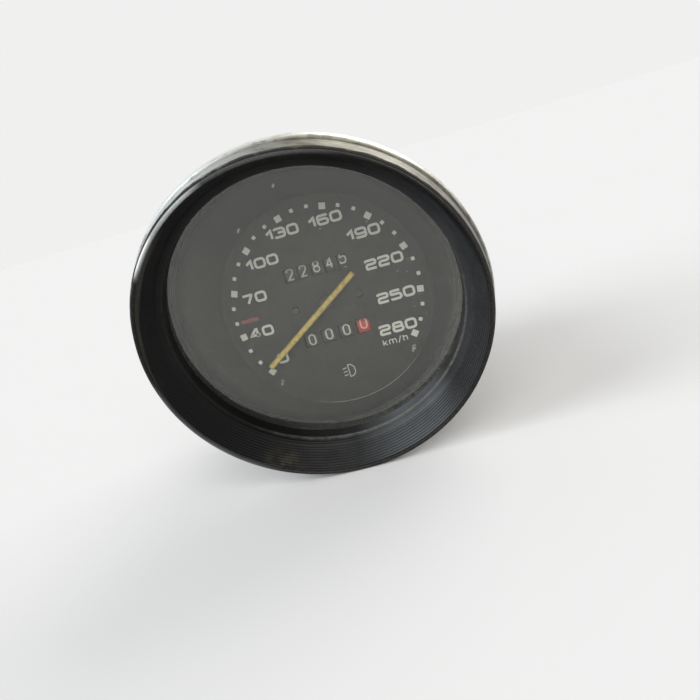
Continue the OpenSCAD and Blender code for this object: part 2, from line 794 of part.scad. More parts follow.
module lamps() {
    color([0.9, 0.88, 0.75]) for (p = lamp_places) translate([p[0], 0, p[1]]) {
        disc_y(bulb_r, back_in - 7, can_len);
        translate([0, back_in - 7, 0]) sphere(r = bulb_r);
    }
}

// Insulating block that the blades stand in
module terminal_block() {
    color([0.15, 0.15, 0.15]) difference() {
        union() {
            plate_y(can_len, can_len + block_t) translate([0, terminal_z]) square(block_size, center = true);
            plate_y(back_in - 2, can_len) translate([0, terminal_z]) square(block_slot - [0.1, 0.1], center = true);
        }
        for (x = terminal_xs) translate([x - terminal_t / 2, back_in - 3, terminal_z - terminal_w / 2])
            cube([terminal_t, 10, terminal_w]);
    }
}

module terminals() {
    color([0.8, 0.76, 0.6]) for (x = terminal_xs)
        translate([x - terminal_t / 2, back_in - 3.5, terminal_z - terminal_w / 2]) difference() {
            cube([terminal_t, terminal_len, terminal_w]);
            translate([-1, terminal_len - 2.5, terminal_w / 2]) rotate([0, 90, 0]) cylinder(r = 0.9, h = 3);
        }
}

can();
wedge_collar();
hood_bezel();
trim_band();
glass();
glass_gasket();
light_baffle();
dial();
dial_screws();
beam_light_guide();
pointer();
pointer_boss();
pointer_spindle();
rotor_magnet();
hairspring();
front_bridge();
front_bush();
left_plate();
right_plate();
base_plate();
total_spindle();
trip_spindle();
pinion_shafts();
total_drum(1);  // total_drum_1
total_drum(2);  // total_drum_2
total_drum(3);  // total_drum_3
total_drum(4);  // total_drum_4
total_drum(5);  // total_drum_5
trip_drum(1);  // trip_drum_1
trip_drum(2);  // trip_drum_2
trip_drum(3);  // trip_drum_3
trip_drum(4);  // trip_drum_4
total_pinion(1);  // total_pinion_1
total_pinion(2);  // total_pinion_2
total_pinion(3);  // total_pinion_3
total_pinion(4);  // total_pinion_4
trip_pinion(1);  // trip_pinion_1
trip_pinion(2);  // trip_pinion_2
trip_pinion(3);  // trip_pinion_3
total_gear();
trip_gear();
idler_gear();
motor();
motor_pinion();
reset_shaft();
trip_bevel();
reset_knob();
movement_housing();
movement_coils();
rear_bearing();
circuit_board();
board_parts();
pillars();
pillar_screws();
studs();
stud_nuts();
lamp_holders();
lamps();
terminal_block();
terminals();
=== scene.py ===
"""A car speedometer with a total and a trip odometer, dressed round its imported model."""
import json
import math

import bmesh
import bpy
from mathutils import Matrix, Vector, noise


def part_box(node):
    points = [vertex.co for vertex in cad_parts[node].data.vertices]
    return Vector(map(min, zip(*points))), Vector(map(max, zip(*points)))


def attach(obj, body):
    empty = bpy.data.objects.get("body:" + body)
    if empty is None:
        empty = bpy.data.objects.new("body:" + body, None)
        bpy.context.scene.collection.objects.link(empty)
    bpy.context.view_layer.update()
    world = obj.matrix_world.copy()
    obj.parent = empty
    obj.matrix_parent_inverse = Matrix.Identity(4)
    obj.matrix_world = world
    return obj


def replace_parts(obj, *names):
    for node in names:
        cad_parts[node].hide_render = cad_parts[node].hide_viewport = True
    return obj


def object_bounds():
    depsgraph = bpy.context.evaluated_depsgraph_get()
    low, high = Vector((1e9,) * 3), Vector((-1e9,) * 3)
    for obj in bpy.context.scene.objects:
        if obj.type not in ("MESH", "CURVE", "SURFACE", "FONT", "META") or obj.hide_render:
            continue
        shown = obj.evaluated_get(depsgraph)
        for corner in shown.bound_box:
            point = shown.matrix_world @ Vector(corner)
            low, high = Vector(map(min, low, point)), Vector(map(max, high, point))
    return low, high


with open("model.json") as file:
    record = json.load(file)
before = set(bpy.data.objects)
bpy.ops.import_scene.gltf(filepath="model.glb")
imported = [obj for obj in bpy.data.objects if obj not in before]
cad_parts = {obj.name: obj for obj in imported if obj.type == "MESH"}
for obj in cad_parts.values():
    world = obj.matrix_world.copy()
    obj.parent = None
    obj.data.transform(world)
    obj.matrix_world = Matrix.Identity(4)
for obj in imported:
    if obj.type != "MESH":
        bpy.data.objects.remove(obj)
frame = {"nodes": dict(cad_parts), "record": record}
cad_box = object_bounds()
nodes = frame["nodes"]

# Sizes shared with the construction, in millimetres and degrees
MM = 0.001
LEAN = 15
RIM_CENTRE = Vector((0, -36, -0.5))
RIM_R = 57.8
LIP_T = 1.3
CONE_FRONT = 1.1
CONE_BACK = 10.9
CONE_PLAIN = 0.8
CONE_FRONT_R = RIM_R - 1.25
CONE_BACK_R = RIM_R - 5.5
RIB_COUNT = 9
RIB_DEPTH = 0.4
GLASS_VIEW_R = 49.4
GLASS_DEPTH = 15.6
GLASS_T = 2
LEDGE_R = GLASS_VIEW_R + 0.6
LEDGE_DEPTH = 11.4
POCKET_R = GLASS_VIEW_R + 1.6
HOOD_DEPTH = GLASS_DEPTH + 3.3
BAND_SEAT_R = RIM_R - 0.3
BAND_FRONT = 1.9
BAND_GROOVE = 8.8
BAND_BACK = 14.4
BEAD_R = RIM_R + 1.9
DIAL_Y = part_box("dial")[0].y / MM
DIAL_VIEW_R = 39.3
DRUM_R = 8.9
DRUM_Y = DIAL_Y + 10.6
TOTAL_Z = 12
TRIP_Z = -13.25
TOTAL_X = -0.6
TOTAL_PITCH = 5.1
TRIP_PITCH = 6.75
BEAM_X = 0.6
BEAM_Z = -27.9
POINTER_REST = 123.2
POINTER_LEN = 32.7
POINTER_TAIL = 15
POINTER_W = 2.2
POINTER_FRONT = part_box("pointer")[0].y / MM
POINTER_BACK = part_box("pointer")[1].y / MM

# Sizes of the scene alone, in millimetres and degrees
POINTER_ASIDE = -0.35
MARK_COUNT = 28
MARK_STEP = 9.36
MARK_RING_R = 35.1
FIGURE_H = 4.4
FIGURE_SHIFT = 0.2
INK_RISE = 0.03
INK_STEP = 0.003
ROUND_STEPS = 288
# The digit and the lift that each total drum shows, then the lift of each trip drum's zero
TOTAL_SHOWN = ((2, 4.5), (2, 4.5), (8, 6.5), (4, 7), (5, 9.5))
TRIP_LIFTS = (0.8, 3.8, 2.8, 7.2)

LEANED = Matrix.Translation(RIM_CENTRE * MM) @ Matrix.Rotation(math.radians(LEAN), 4, "X")


# Meshes

def piece(name, points, faces, material, body, place=None, sharp=35):
    """One mesh from points in millimetres, riding on a body. Edges sharper than an angle stay sharp."""
    mesh = bpy.data.meshes.new(name)
    mesh.from_pydata([Vector(p) * MM for p in points], [], faces)
    shape = bmesh.new()
    shape.from_mesh(mesh)
    bmesh.ops.recalc_face_normals(shape, faces=shape.faces)
    shape.to_mesh(mesh)
    shape.free()
    mesh.materials.append(material)
    mesh.shade_smooth()
    mesh.set_sharp_from_angle(angle=math.radians(sharp))
    obj = bpy.data.objects.new(name, mesh)
    bpy.context.scene.collection.objects.link(obj)
    if place is not None:
        obj.matrix_world = place
    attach(obj, body)
    return obj


def turned(profile, steps, shake=None):
    """Points and faces of a closed profile of radius and depth, turned about the Y axis."""
    points = []
    for i in range(steps):
        a = 2 * math.pi * i / steps
        for r, y in profile:
            grown = r + (shake(a, r, y) if shake else 0)
            points.append((grown * math.cos(a), y, grown * math.sin(a)))
    n = len(profile)
    faces = []
    for i in range(steps):
        j = (i + 1) % steps
        for k in range(n):
            m = (k + 1) % n
            faces.append((i * n + k, i * n + m, j * n + m, j * n + k))
    return points, faces


def filleted(corners, closed=True, steps=5):
    """A line through corners (x, y, radius), each rounded by an arc of that radius where it fits."""
    out = []
    n = len(corners)
    for i, (x, y, radius) in enumerate(corners):
        here = Vector((x, y))
        if not closed and i in (0, n - 1) or radius <= 0:
            out.append(here)
            continue
        before = Vector(corners[i - 1][:2]) - here
        after = Vector(corners[(i + 1) % n][:2]) - here
        turn = before.angle(after)
        if turn > math.pi - 0.01:
            out.append(here)
            continue
        reach = min(radius / math.tan(turn / 2), before.length * 0.49, after.length * 0.49)
        start = here + before.normalized() * reach
        end = here + after.normalized() * reach
        inward = (before.normalized() + after.normalized()).normalized()
        middle = here + inward * (reach / math.cos(turn / 2))
        first = start - middle
        sweep = first.angle_signed(end - middle, 0)
        for k in range(steps + 1):
            spin = -sweep * k / steps
            out.append(middle + Matrix.Rotation(spin, 2) @ first)
    return out


# Printed figures

def ribbon(line, width, closed):
    """Left and right edges of a stroke of even width along a line, with mitred corners."""
    n = len(line)
    left, right = [], []
    for i, here in enumerate(line):
        ahead = line[(i + 1) % n] - here if closed or i < n - 1 else here - line[i - 1]
        behind = here - line[i - 1] if closed or i > 0 else ahead
        a, b = ahead.normalized(), behind.normalized()
        across = Vector((-a.y - b.y, a.x + b.x)).normalized()
        stretch = min(1 / max(across.dot(Vector((-a.y, a.x))), 0.35), 1.8)
        left.append(here + across * stretch * width / 2)
        right.append(here - across * stretch * width / 2)
    return left, right


def dense(line, closed, step=0.4):
    """The same line with points no further apart than a step, to follow a curved surface."""
    out = []
    n = len(line)
    for i in range(n if closed else n - 1):
        a, b = line[i], line[(i + 1) % n]
        parts = max(1, math.ceil((b - a).length / step))
        out += [a.lerp(b, k / parts) for k in range(parts)]
    return out if closed else out + [line[-1]]


def add_stroke(points, faces, line, width, closed, rise, wrap):
    """Adds a stroke as a thin closed solid. wrap makes a point in space of a flat point and a height."""
    left, right = ribbon(line, width, closed)
    n = len(line)
    first = len(points)
    for height in (0, rise):
        points.extend(wrap(p, height) for p in left)
        points.extend(wrap(p, height) for p in right)
    spans = range(n if closed else n - 1)
    for i in spans:
        j = (i + 1) % n
        low_l, low_r, top_l, top_r = (first + k * n for k in range(4))
        faces.append((top_l + i, top_l + j, top_r + j, top_r + i))
        faces.append((low_l + i, low_r + i, low_r + j, low_l + j))
        faces.append((low_l + i, low_l + j, top_l + j, top_l + i))
        faces.append((low_r + i, top_r + i, top_r + j, low_r + j))
    if not closed:
        for i in (0, n - 1):
            faces.append((first + i, first + 2 * n + i, first + 3 * n + i, first + n + i))


# Each figure's strokes in a box of 1 by 1: whether it is closed, then corners of x, z and rounding
WIDE = {
    "0": [(True, [(0, 0, 1), (1, 0, 1), (1, 1, 1), (0, 1, 1)])],
    "1": [(False, [(0, 0.62, 0), (0.95, 1, 0), (0.95, 0, 0)])],
    "2": [(False, [(0, 0.8, 0), (0, 1, 1), (1, 1, 1), (1, 0.52, 1), (0, 0.52, 1), (0, 0, 0.4),
                   (1, 0, 0)])],
    "3": [(False, [(0, 0.84, 0), (0, 1, 1), (1, 1, 1), (1, 0, 1), (0, 0, 1), (0, 0.16, 0)]),
          (False, [(0.3, 0.52, 0), (0.98, 0.52, 0)])],
    "4": [(False, [(0.72, 0, 0), (0.72, 1, 0), (0.6, 1, 0), (0, 0.27, 0), (1, 0.27, 0)])],
    "5": [(False, [(0.96, 1, 0), (0, 1, 0.3), (0, 0.58, 0.3), (1, 0.58, 1), (1, 0, 1), (0, 0, 1),
                   (0, 0.16, 0)])],
    "6": [(True, [(0, 0, 1), (1, 0, 1), (1, 0.58, 1), (0, 0.58, 0.4)]),
          (False, [(0, 0.5, 0), (0, 1, 1), (0.96, 1, 1), (0.96, 0.84, 0)])],
    "7": [(False, [(0, 1, 0), (1, 1, 0.2), (0.42, 0, 0)])],
    "8": [(True, [(0, 0, 1), (1, 0, 1), (1, 0.53, 0.7), (0, 0.53, 0.7)]),
          (True, [(0.05, 0.53, 0.7), (0.95, 0.53, 0.7), (0.95, 1, 1), (0.05, 1, 1)])],
    "9": [(True, [(0, 0.42, 1), (1, 0.42, 0.4), (1, 1, 1), (0, 1, 1)]),
          (False, [(1, 0.5, 0), (1, 0, 1), (0.04, 0, 1), (0.04, 0.16, 0)])],
}
NARROW = {
    "0": [(True, [(0, 0, 1.6), (1, 0, 1.6), (1, 1, 1.6), (0, 1, 1.6)])],
    "1": [(False, [(0.2, 0.78, 0), (0.58, 1, 0), (0.58, 0, 0)])],
    "2": [(False, [(0, 0.76, 0), (0, 1, 1.6), (1, 1, 1.6), (1, 0.62, 1), (0.02, 0, 0), (1, 0, 0)])],
    "3": [(False, [(0, 0.78, 0), (0, 1, 1.6), (0.97, 1, 1.6), (0.97, 0.53, 1), (0.4, 0.53, 0)]),
          (False, [(0.42, 0.53, 0), (1, 0.53, 1), (1, 0, 1.6), (0, 0, 1.6), (0, 0.22, 0)])],
    "4": [(False, [(0.72, 0, 0), (0.72, 1, 0), (0, 0.28, 0), (1, 0.28, 0)])],
    "5": [(False, [(0.94, 1, 0), (0.1, 1, 0), (0.04, 0.55, 0.1), (0.5, 0.64, 0.6), (1, 0.6, 1.2),
                   (1, 0, 1.6), (0, 0, 1.6), (0, 0.2, 0)])],
    "6": [(True, [(0, 0, 1.6), (1, 0, 1.6), (1, 0.58, 1.6), (0, 0.58, 1.2)]),
          (False, [(0, 0.44, 0), (0, 0.75, 0.8), (0.3, 1, 1), (0.85, 1, 0)])],
    "7": [(False, [(0, 1, 0), (1, 1, 0), (0.36, 0, 0)])],
    "8": [(True, [(0, 0, 1.4), (1, 0, 1.4), (1, 0.53, 1.2), (0, 0.53, 1.2)]),
          (True, [(0.06, 0.54, 1.1), (0.94, 0.54, 1.1), (0.94, 1, 1.3), (0.06, 1, 1.3)])],
    "9": [(True, [(0, 0.42, 1.2), (1, 0.42, 1.6), (1, 1, 1.6), (0, 1, 1.6)]),
          (False, [(1, 0.56, 0), (1, 0.25, 0.8), (0.7, 0, 1), (0.15, 0, 0)])],
}
LETTERS = {
    "k": [(False, [(0, 0, 0), (0, 1.35, 0)]), (False, [(0.8, 0.95, 0), (0.05, 0.4, 0)]),
          (False, [(0.3, 0.55, 0), (0.85, 0, 0)])],
    "m": [(False, [(0, 0, 0), (0, 1, 0)]),
          (False, [(0, 0.7, 0), (0, 1, 0.5), (0.8, 1, 0.5), (0.8, 0, 0)]),
          (False, [(0.8, 0.7, 0), (0.8, 1, 0.5), (1.6, 1, 0.5), (1.6, 0, 0)])],
    "/": [(False, [(0, -0.15, 0), (0.7, 1.4, 0)])],
    "h": [(False, [(0, 0, 0), (0, 1.35, 0)]),
          (False, [(0, 0.7, 0), (0, 1, 0.5), (0.85, 1, 0.5), (0.85, 0, 0)])],
}


def add_figure(points, faces, strokes, place, size, stroke, round_to, wrap):
    """Adds one figure's strokes with its box's lower left corner at place."""
    for i, (closed, corners) in enumerate(strokes):
        scaled = [(place[0] + x * size[0], place[1] + z * size[1], r * round_to) for x, z, r in corners]
        line = dense(filleted(scaled, closed), closed)
        add_stroke(points, faces, line, stroke, closed, INK_RISE + i * INK_STEP, wrap)


def on_dial(p, height):
    """Place of a flat point at a height over the dial. Height 0 lies just inside the plate."""
    return (p.x, DIAL_Y + 0.004 - height, p.y)


def add_number(points, faces, text, centre):
    """Adds one number of the speed scale, centred on a point of the dial."""
    stroke, height, width, slim, gap = 0.95, 4.0, 4.5, 2.9, 0.4
    boxes = [slim if c == "1" else width for c in text]
    x = centre[0] - (sum(boxes) + gap * (len(text) - 1)) / 2
    for c, box in zip(text, boxes):
        size = (box - stroke, height - stroke)
        place = (x + stroke / 2, centre[1] - height / 2 + stroke / 2)
        add_figure(points, faces, WIDE[c], place, size, stroke, 0.95, on_dial)
        x += box + gap


def dial_numbers(ink):
    """The scale's ten numbers, each at its own measured place."""
    centres = {"0": (-22.5, -16.5), "40": (-27.1, -4.7), "70": (-25.7, 8.3), "100": (-18.9, 20.2),
               "130": (-8.4, 28.7), "160": (8.0, 28.8), "190": (19.9, 20.5), "220": (24.3, 8.45),
               "250": (25.1, -4.7), "280": (22.5, -16.5)}
    points, faces = [], []
    for text, centre in centres.items():
        add_number(points, faces, text, centre)
    return piece("scale_numbers", points, faces, ink, "case")


def mark_way(k):
    """Direction on the dial from its middle to one of the squares of the scale."""
    a = math.radians((k - (MARK_COUNT - 1) / 2) * MARK_STEP)
    return Vector((math.sin(a), math.cos(a)))


def dial_marks(ink):
    """A ring of squares, each third one large, from the start of the scale to its end."""
    small, large = 1.35, 2.4
    points, faces = [], []
    for k in range(MARK_COUNT):
        side = large if k % 3 == 0 else small
        r = MARK_RING_R - (large - small) / 2 if k % 3 == 0 else MARK_RING_R
        out = mark_way(k)
        line = [out * (r - side / 2), out * (r + side / 2)]
        add_stroke(points, faces, line, side, False, INK_RISE, on_dial)
    return piece("scale_marks", points, faces, ink, "case")


def red_bar(ink):
    """Short red line beside the fifth square."""
    inner, outer, width = 26.7, 33.5, 1.45
    out = mark_way(4)
    points, faces = [], []
    add_stroke(points, faces, [out * inner, out * outer], width, False, INK_RISE, on_dial)
    return piece("red_bar", points, faces, ink, "case")


def speed_unit(ink):
    """The unit under the last number."""
    points, faces = [], []
    x, z, unit, stroke = 15.6, -22.2, 1.6, 0.36
    for c, advance in (("k", 1.42), ("m", 2.15), ("/", 1.25), ("h", 1)):
        add_figure(points, faces, LETTERS[c], (x, z), (unit, unit), stroke, 0.6, on_dial)
        x += advance * unit
    return piece("speed_unit", points, faces, ink, "case")


def beam_sign(ink, mask):
    """High-beam sign printed on a black film over the light guide."""
    face_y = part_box("beam_light_guide")[0].y / MM
    film_r, film_back, film_front = 3.26, face_y - 0.001, face_y - 0.05

    def on_film(p, height):
        return (BEAM_X + p.x, film_front - height, BEAM_Z + p.y)

    film = [(0.001, film_back), (film_r, film_back), (film_r, film_front), (0.001, film_front)]
    points, faces = turned(film, 96)
    points = [(x + BEAM_X, y, z + BEAM_Z) for x, y, z in points]
    piece("beam_film", points, faces, mask, "case")
    points, faces = [], []
    stroke, flat, tip, half = 0.38, -0.4, 1.9, 2.3
    bow = [(flat, half, 0), (flat + 1, half, 0.9), (tip, half / 2, 1.5), (tip, -half / 2, 1.5),
           (flat + 1, -half, 0.9), (flat, -half, 0)]
    add_stroke(points, faces, filleted(bow, True), stroke, True, INK_RISE, on_film)
    for z in (1.35, 0, -1.35):
        ray = [Vector((-1.1, z)), Vector((-2.6, z - 0.2))]
        add_stroke(points, faces, ray, stroke, False, INK_RISE, on_film)
    return piece("beam_sign", points, faces, ink, "case")


def drum_figures(name, body, x, row_z, shown, lift, width, stroke, ink):
    """Ten figures round a drum. The shown one faces the window, lifted by some degrees."""
    size = (width - stroke, FIGURE_H - stroke)

    def on_drum(p, rise):
        a = p.y / DRUM_R
        r = DRUM_R + rise - 0.004
        return (p.x, DRUM_Y - r * math.cos(a), row_z + r * math.sin(a))

    points, faces = [], []
    for n in range(10):
        middle = math.radians(lift - 36 * (n - shown)) * DRUM_R
        place = (x - size[0] / 2, middle - size[1] / 2)
        add_figure(points, faces, NARROW[str(n)], place, size, stroke, 0.85, on_drum)
    return piece(name, points, faces, ink, body)


# Materials

class Finish:
    """A procedural material on one Principled shader, with short ways to wire its nodes."""

    def __init__(self, name, colour, rough, metal=0.0, specular=0.5):
        self.material = bpy.data.materials.new(name)
        self.material.use_nodes = True
        self.tree = self.material.node_tree
        self.shader = self.tree.nodes["Principled BSDF"]
        self.set("Base Color", (*colour, 1))
        self.set("Roughness", rough)
        self.set("Metallic", metal)
        self.set("Specular IOR Level", specular)

    def set(self, socket, value):
        self.shader.inputs[socket].default_value = value

    def wire(self, source, socket):
        self.tree.links.new(source, self.shader.inputs[socket])

    def add(self, kind, inputs=(), **settings):
        """A node with its settings, its inputs given by name or number as values or other sockets."""
        made = self.tree.nodes.new(kind)
        for key, value in settings.items():
            setattr(made, key, value)
        for key, value in dict(inputs).items():
            if isinstance(value, bpy.types.NodeSocket):
                self.tree.links.new(value, made.inputs[key])
            else:
                made.inputs[key].default_value = value
        return made

    def math(self, operation, a, b=0.0, clamp=False):
        return self.add("ShaderNodeMath", {0: a, 1: b}, operation=operation, use_clamp=clamp).outputs[0]

    def place(self):
        return self.add("ShaderNodeTexCoord").outputs["Object"]

    def stretched(self, scale):
        """The piece's own coordinates, scaled along each axis."""
        made = self.add("ShaderNodeMapping", {"Vector": self.place(), "Scale": scale})
        return made.outputs["Vector"]

    def parts(self):
        made = self.add("ShaderNodeSeparateXYZ", {0: self.place()})
        return made.outputs

    def radius(self):
        """Distance from the Y axis, in metres."""
        x, _, z = self.parts()
        squares = [self.math("MULTIPLY", part, part) for part in (x, z)]
        return self.math("SQRT", self.math("ADD", *squares))

    def toward(self, angle):
        """1 on the side of the Y axis that lies at an angle from +X towards +Z, and down to -1 opposite."""
        x, _, z = self.parts()
        a = math.radians(angle)
        along_x = self.math("MULTIPLY", x, math.cos(a))
        along_z = self.math("MULTIPLY", z, math.sin(a))
        return self.math("DIVIDE", self.math("ADD", along_x, along_z), self.radius())

    def near(self, value, middle, half):
        """1 where a depth in metres is at the middle, and 0 from half away, both given in millimetres."""
        away = self.math("ABSOLUTE", self.math("SUBTRACT", value, middle * MM))
        return self.between(away, half * MM, 0)

    def product(self, first, *others):
        for value in others:
            first = self.math("MULTIPLY", first, value)
        return first

    def round_about(self, around, across, along):
        """Coordinates for marks that run round the Y axis: per turn, per metre of radius and of depth."""
        x, y, z = self.parts()
        r = self.radius()
        made = self.add("ShaderNodeCombineXYZ", {
            0: self.math("MULTIPLY", self.math("DIVIDE", x, r), around),
            1: self.math("MULTIPLY", self.math("DIVIDE", z, r), around),
            2: self.math("ADD", self.math("MULTIPLY", y, along), self.math("MULTIPLY", r, across)),
        })
        return made.outputs[0]

    def noise(self, scale, detail=3.0, rough=0.55, at=None, distortion=0.0):
        made = self.add("ShaderNodeTexNoise", {
            "Vector": at or self.place(), "Scale": scale, "Detail": detail, "Roughness": rough,
            "Distortion": distortion})
        return made.outputs["Fac"]

    def specks(self, scale, size):
        """1 in small scattered spots and 0 elsewhere."""
        made = self.add("ShaderNodeTexVoronoi", {"Vector": self.place(), "Scale": scale})
        return self.math("LESS_THAN", made.outputs["Distance"], size)

    def between(self, value, low, high, to_low=0.0, to_high=1.0):
        """to_low where a value is low, to_high where it is high, and in step between them."""
        made = self.add("ShaderNodeMapRange", {
            "Value": value, "From Min": low, "From Max": high, "To Min": to_low, "To Max": to_high})
        return made.outputs["Result"]

    def blend(self, factor, a, b):
        """Colour a where factor is 0 and b where it is 1. Each may be a colour or a socket."""
        full = [(*c, 1) if isinstance(c, tuple) else c for c in (a, b)]
        return self.add("ShaderNodeMix", {0: factor, 6: full[0], 7: full[1]}, data_type="RGBA").outputs[2]

    def colour(self, source):
        self.wire(source, "Base Color")

    def rough(self, source):
        self.wire(source, "Roughness")

    def fleck(self, x, z, size):
        """1 in one small spot, placed and sized in millimetres, and 0 elsewhere."""
        flat = self.add("ShaderNodeVectorMath", {0: self.place(), 1: (1, 0, 1)}, operation="MULTIPLY")
        away = self.add("ShaderNodeVectorMath", {0: flat.outputs[0], 1: (x * MM, 0, z * MM)},
                        operation="DISTANCE")
        return self.between(away.outputs["Value"], size * MM, size * MM * 0.4)

    def bump(self, heights):
        """Relief from pairs of height and depth in metres, one on top of the other."""
        normal = None
        for height, depth in heights:
            inputs = {"Height": height, "Distance": depth, "Strength": 1.0}
            if normal is not None:
                inputs["Normal"] = normal
            normal = self.add("ShaderNodeBump", inputs).outputs["Normal"]
        self.wire(normal, "Normal")


def plastic(name, colour, rough, grain=0.00002, dust=0.1, dust_colour=(0.2, 0.18, 0.15)):
    """Moulded plastic: fine grain, uneven gloss and a thin film of dust."""
    f = Finish(name, colour, rough)
    cloud = f.noise(90, 4)
    film = f.math("MULTIPLY", f.between(cloud, 0.45, 0.8), dust)
    shade = f.blend(f.noise(350, 2), colour, tuple(min(1, c * 1.35 + 0.002) for c in colour))
    f.colour(f.blend(film, shade, dust_colour))
    uneven = f.between(f.noise(240, 5), 0.3, 0.7, rough - 0.06, rough + 0.08)
    f.rough(f.math("ADD", uneven, film, clamp=True))
    f.bump([(f.noise(5000, 2), grain), (f.noise(400, 2), grain * 1.5)])
    return f.material


def metal(name, colour, rough, brush=(1, 1, 1), stain=0.25, stain_colour=(0.3, 0.24, 0.16)):
    """Sheet or bar metal: brushed along the axis with the smallest scale, clouded and a little stained."""
    depth = 0.000006
    f = Finish(name, colour, rough, metal=1.0)
    lines = f.noise(1, 3, at=f.stretched(tuple(900 * b for b in brush)))
    cloud = f.noise(60, 5, 0.6, distortion=0.6)
    light = tuple(min(1, c * 1.1) for c in colour)
    tint = f.blend(f.between(lines, 0.3, 0.7), tuple(c * 0.82 for c in colour), light)
    f.colour(f.blend(f.math("MULTIPLY", f.between(cloud, 0.48, 0.75), stain), tint, stain_colour))
    uneven = f.between(f.noise(140, 4), 0.3, 0.7, rough - 0.07, rough + 0.1)
    dull = f.product(f.between(cloud, 0.5, 0.8), stain * 0.6)
    f.rough(f.math("ADD", uneven, dull, clamp=True))
    f.bump([(lines, depth), (f.noise(700, 2), depth)])
    return f.material


def hood_plastic():
    """Satin black of the ribbed hood: painted shade towards the bottom, in its grooves and at the front of
    its upper right; dust and a painted bluish sheen at the lower right; dust and a painted highlight on its
    ledge; a paler strip at the front of its left side and a painted glare at the front of its upper left.
    """
    f = Finish("hood_plastic", (0.008, 0.008, 0.008), 0.42, specular=0.14)
    depth = f.parts()[1]
    cloud = f.noise(70, 5, 0.6)
    fine = f.noise(1700, 4, 0.7)
    rib = (CONE_BACK - CONE_PLAIN - CONE_FRONT) / RIB_COUNT * MM
    wave = f.math("MULTIPLY", f.math("SUBTRACT", depth, CONE_FRONT * MM), 2 * math.pi / rib)
    last_rib = CONE_BACK - CONE_PLAIN
    # Painted shade: darker in the grooves between the ribs.
    groove = f.product(f.between(f.math("COSINE", wave), -0.7, 0.8),
                       f.between(depth, (last_rib + 0.3) * MM, last_rib * MM))
    base = f.blend(f.between(cloud, 0.35, 0.7), (0.004, 0.004, 0.004), (0.0072, 0.007, 0.0068))
    shaded = f.blend(f.between(f.toward(-112), 0.6, 0.97, 0, 0.75), base, (0.001, 0.001, 0.001))
    ribbed = f.blend(f.product(groove, 0.6), shaded, (0.0015, 0.0015, 0.0015))
    # Dust and a painted bluish sheen at the lower right and to the right, less of both in the grooves.
    sheen = f.math("POWER", f.between(f.toward(-65), 0.83, 0.99), 2.2)
    side = f.between(f.toward(-25), 0, 0.9, 0, 0.27)
    widest = f.math("MAXIMUM", f.product(sheen, 0.85), side)
    dust_and_sheen = f.product(widest, f.between(cloud, 0.25, 0.7, 0.6, 1), f.between(groove, 0, 1, 1, 0.35))
    with_dust_and_sheen = f.blend(dust_and_sheen, ribbed, (0.118, 0.128, 0.14))
    smudge = f.product(f.between(f.toward(-119), 0.99, 1), f.between(depth, 0.009, 0.002),
                       f.between(f.noise(260, 3), 0.4, 0.65), 0.36)
    smudged = f.blend(smudge, with_dust_and_sheen, (0.12, 0.11, 0.06))
    grains = f.product(f.between(fine, 0.58, 0.7), f.between(f.toward(-30), 0.3, 0.85, 0.02, 0.35))
    speckled = f.blend(grains, smudged, (0.17, 0.165, 0.145))
    # Painted shade at the front of the cone on the upper right.
    dark_front = f.product(f.between(f.toward(40), 0.8, 0.95), f.between(depth, 0.0055, 0.0028), 0.9)
    darkened = f.blend(dark_front, speckled, (0.002, 0.002, 0.002))
    strip_end = f.between(f.toward(100), 0, 0.87, 0.0012, 0.0046)
    strip = f.product(f.between(f.toward(160), 0.84, 0.92), f.between(fine, 0.3, 0.6, 0.6, 1),
                      f.between(f.math("SUBTRACT", depth, strip_end), 0.0004, -0.0003))
    stripped = f.blend(strip, darkened, (0.042, 0.039, 0.032))
    glare = f.product(f.between(f.toward(126), 0.94, 0.98), f.between(depth, 0.0024, 0.0013),
                      f.between(fine, 0.3, 0.6, 0.5, 1))
    lit = f.blend(glare, stripped, (0.2, 0.21, 0.21))
    # Dust and a painted highlight on the ledge, brightest along its inner edge and at the lower right.
    wide_end = f.between(f.toward(-95), 0.8, 1, (LEDGE_R + 0.75) * MM, (LEDGE_R + 1.4) * MM)
    from_edge = f.math("DIVIDE", f.math("SUBTRACT", f.radius(), (LEDGE_R + 0.3) * MM),
                       f.math("SUBTRACT", wide_end, (LEDGE_R + 0.3) * MM))
    ledge_dust_and_highlight = f.product(f.near(depth, LEDGE_DEPTH, 0.9), f.between(from_edge, 1, 0),
                         f.between(f.toward(-60), 0.25, 0.97, 0.05, 0.95),
                         f.between(fine, 0.35, 0.6, 0.3, 1),
                         f.between(f.noise(420, 4, 0.65), 0.36, 0.6, 0.4, 1))
    f.colour(f.blend(ledge_dust_and_highlight, lit, (0.17, 0.168, 0.15)))
    f.rough(f.between(f.noise(180, 5, 0.65), 0.3, 0.7, 0.36, 0.52))
    f.bump([(f.noise(3800, 2), 0.000015), (f.noise(300, 3), 0.00004)])
    return f.material


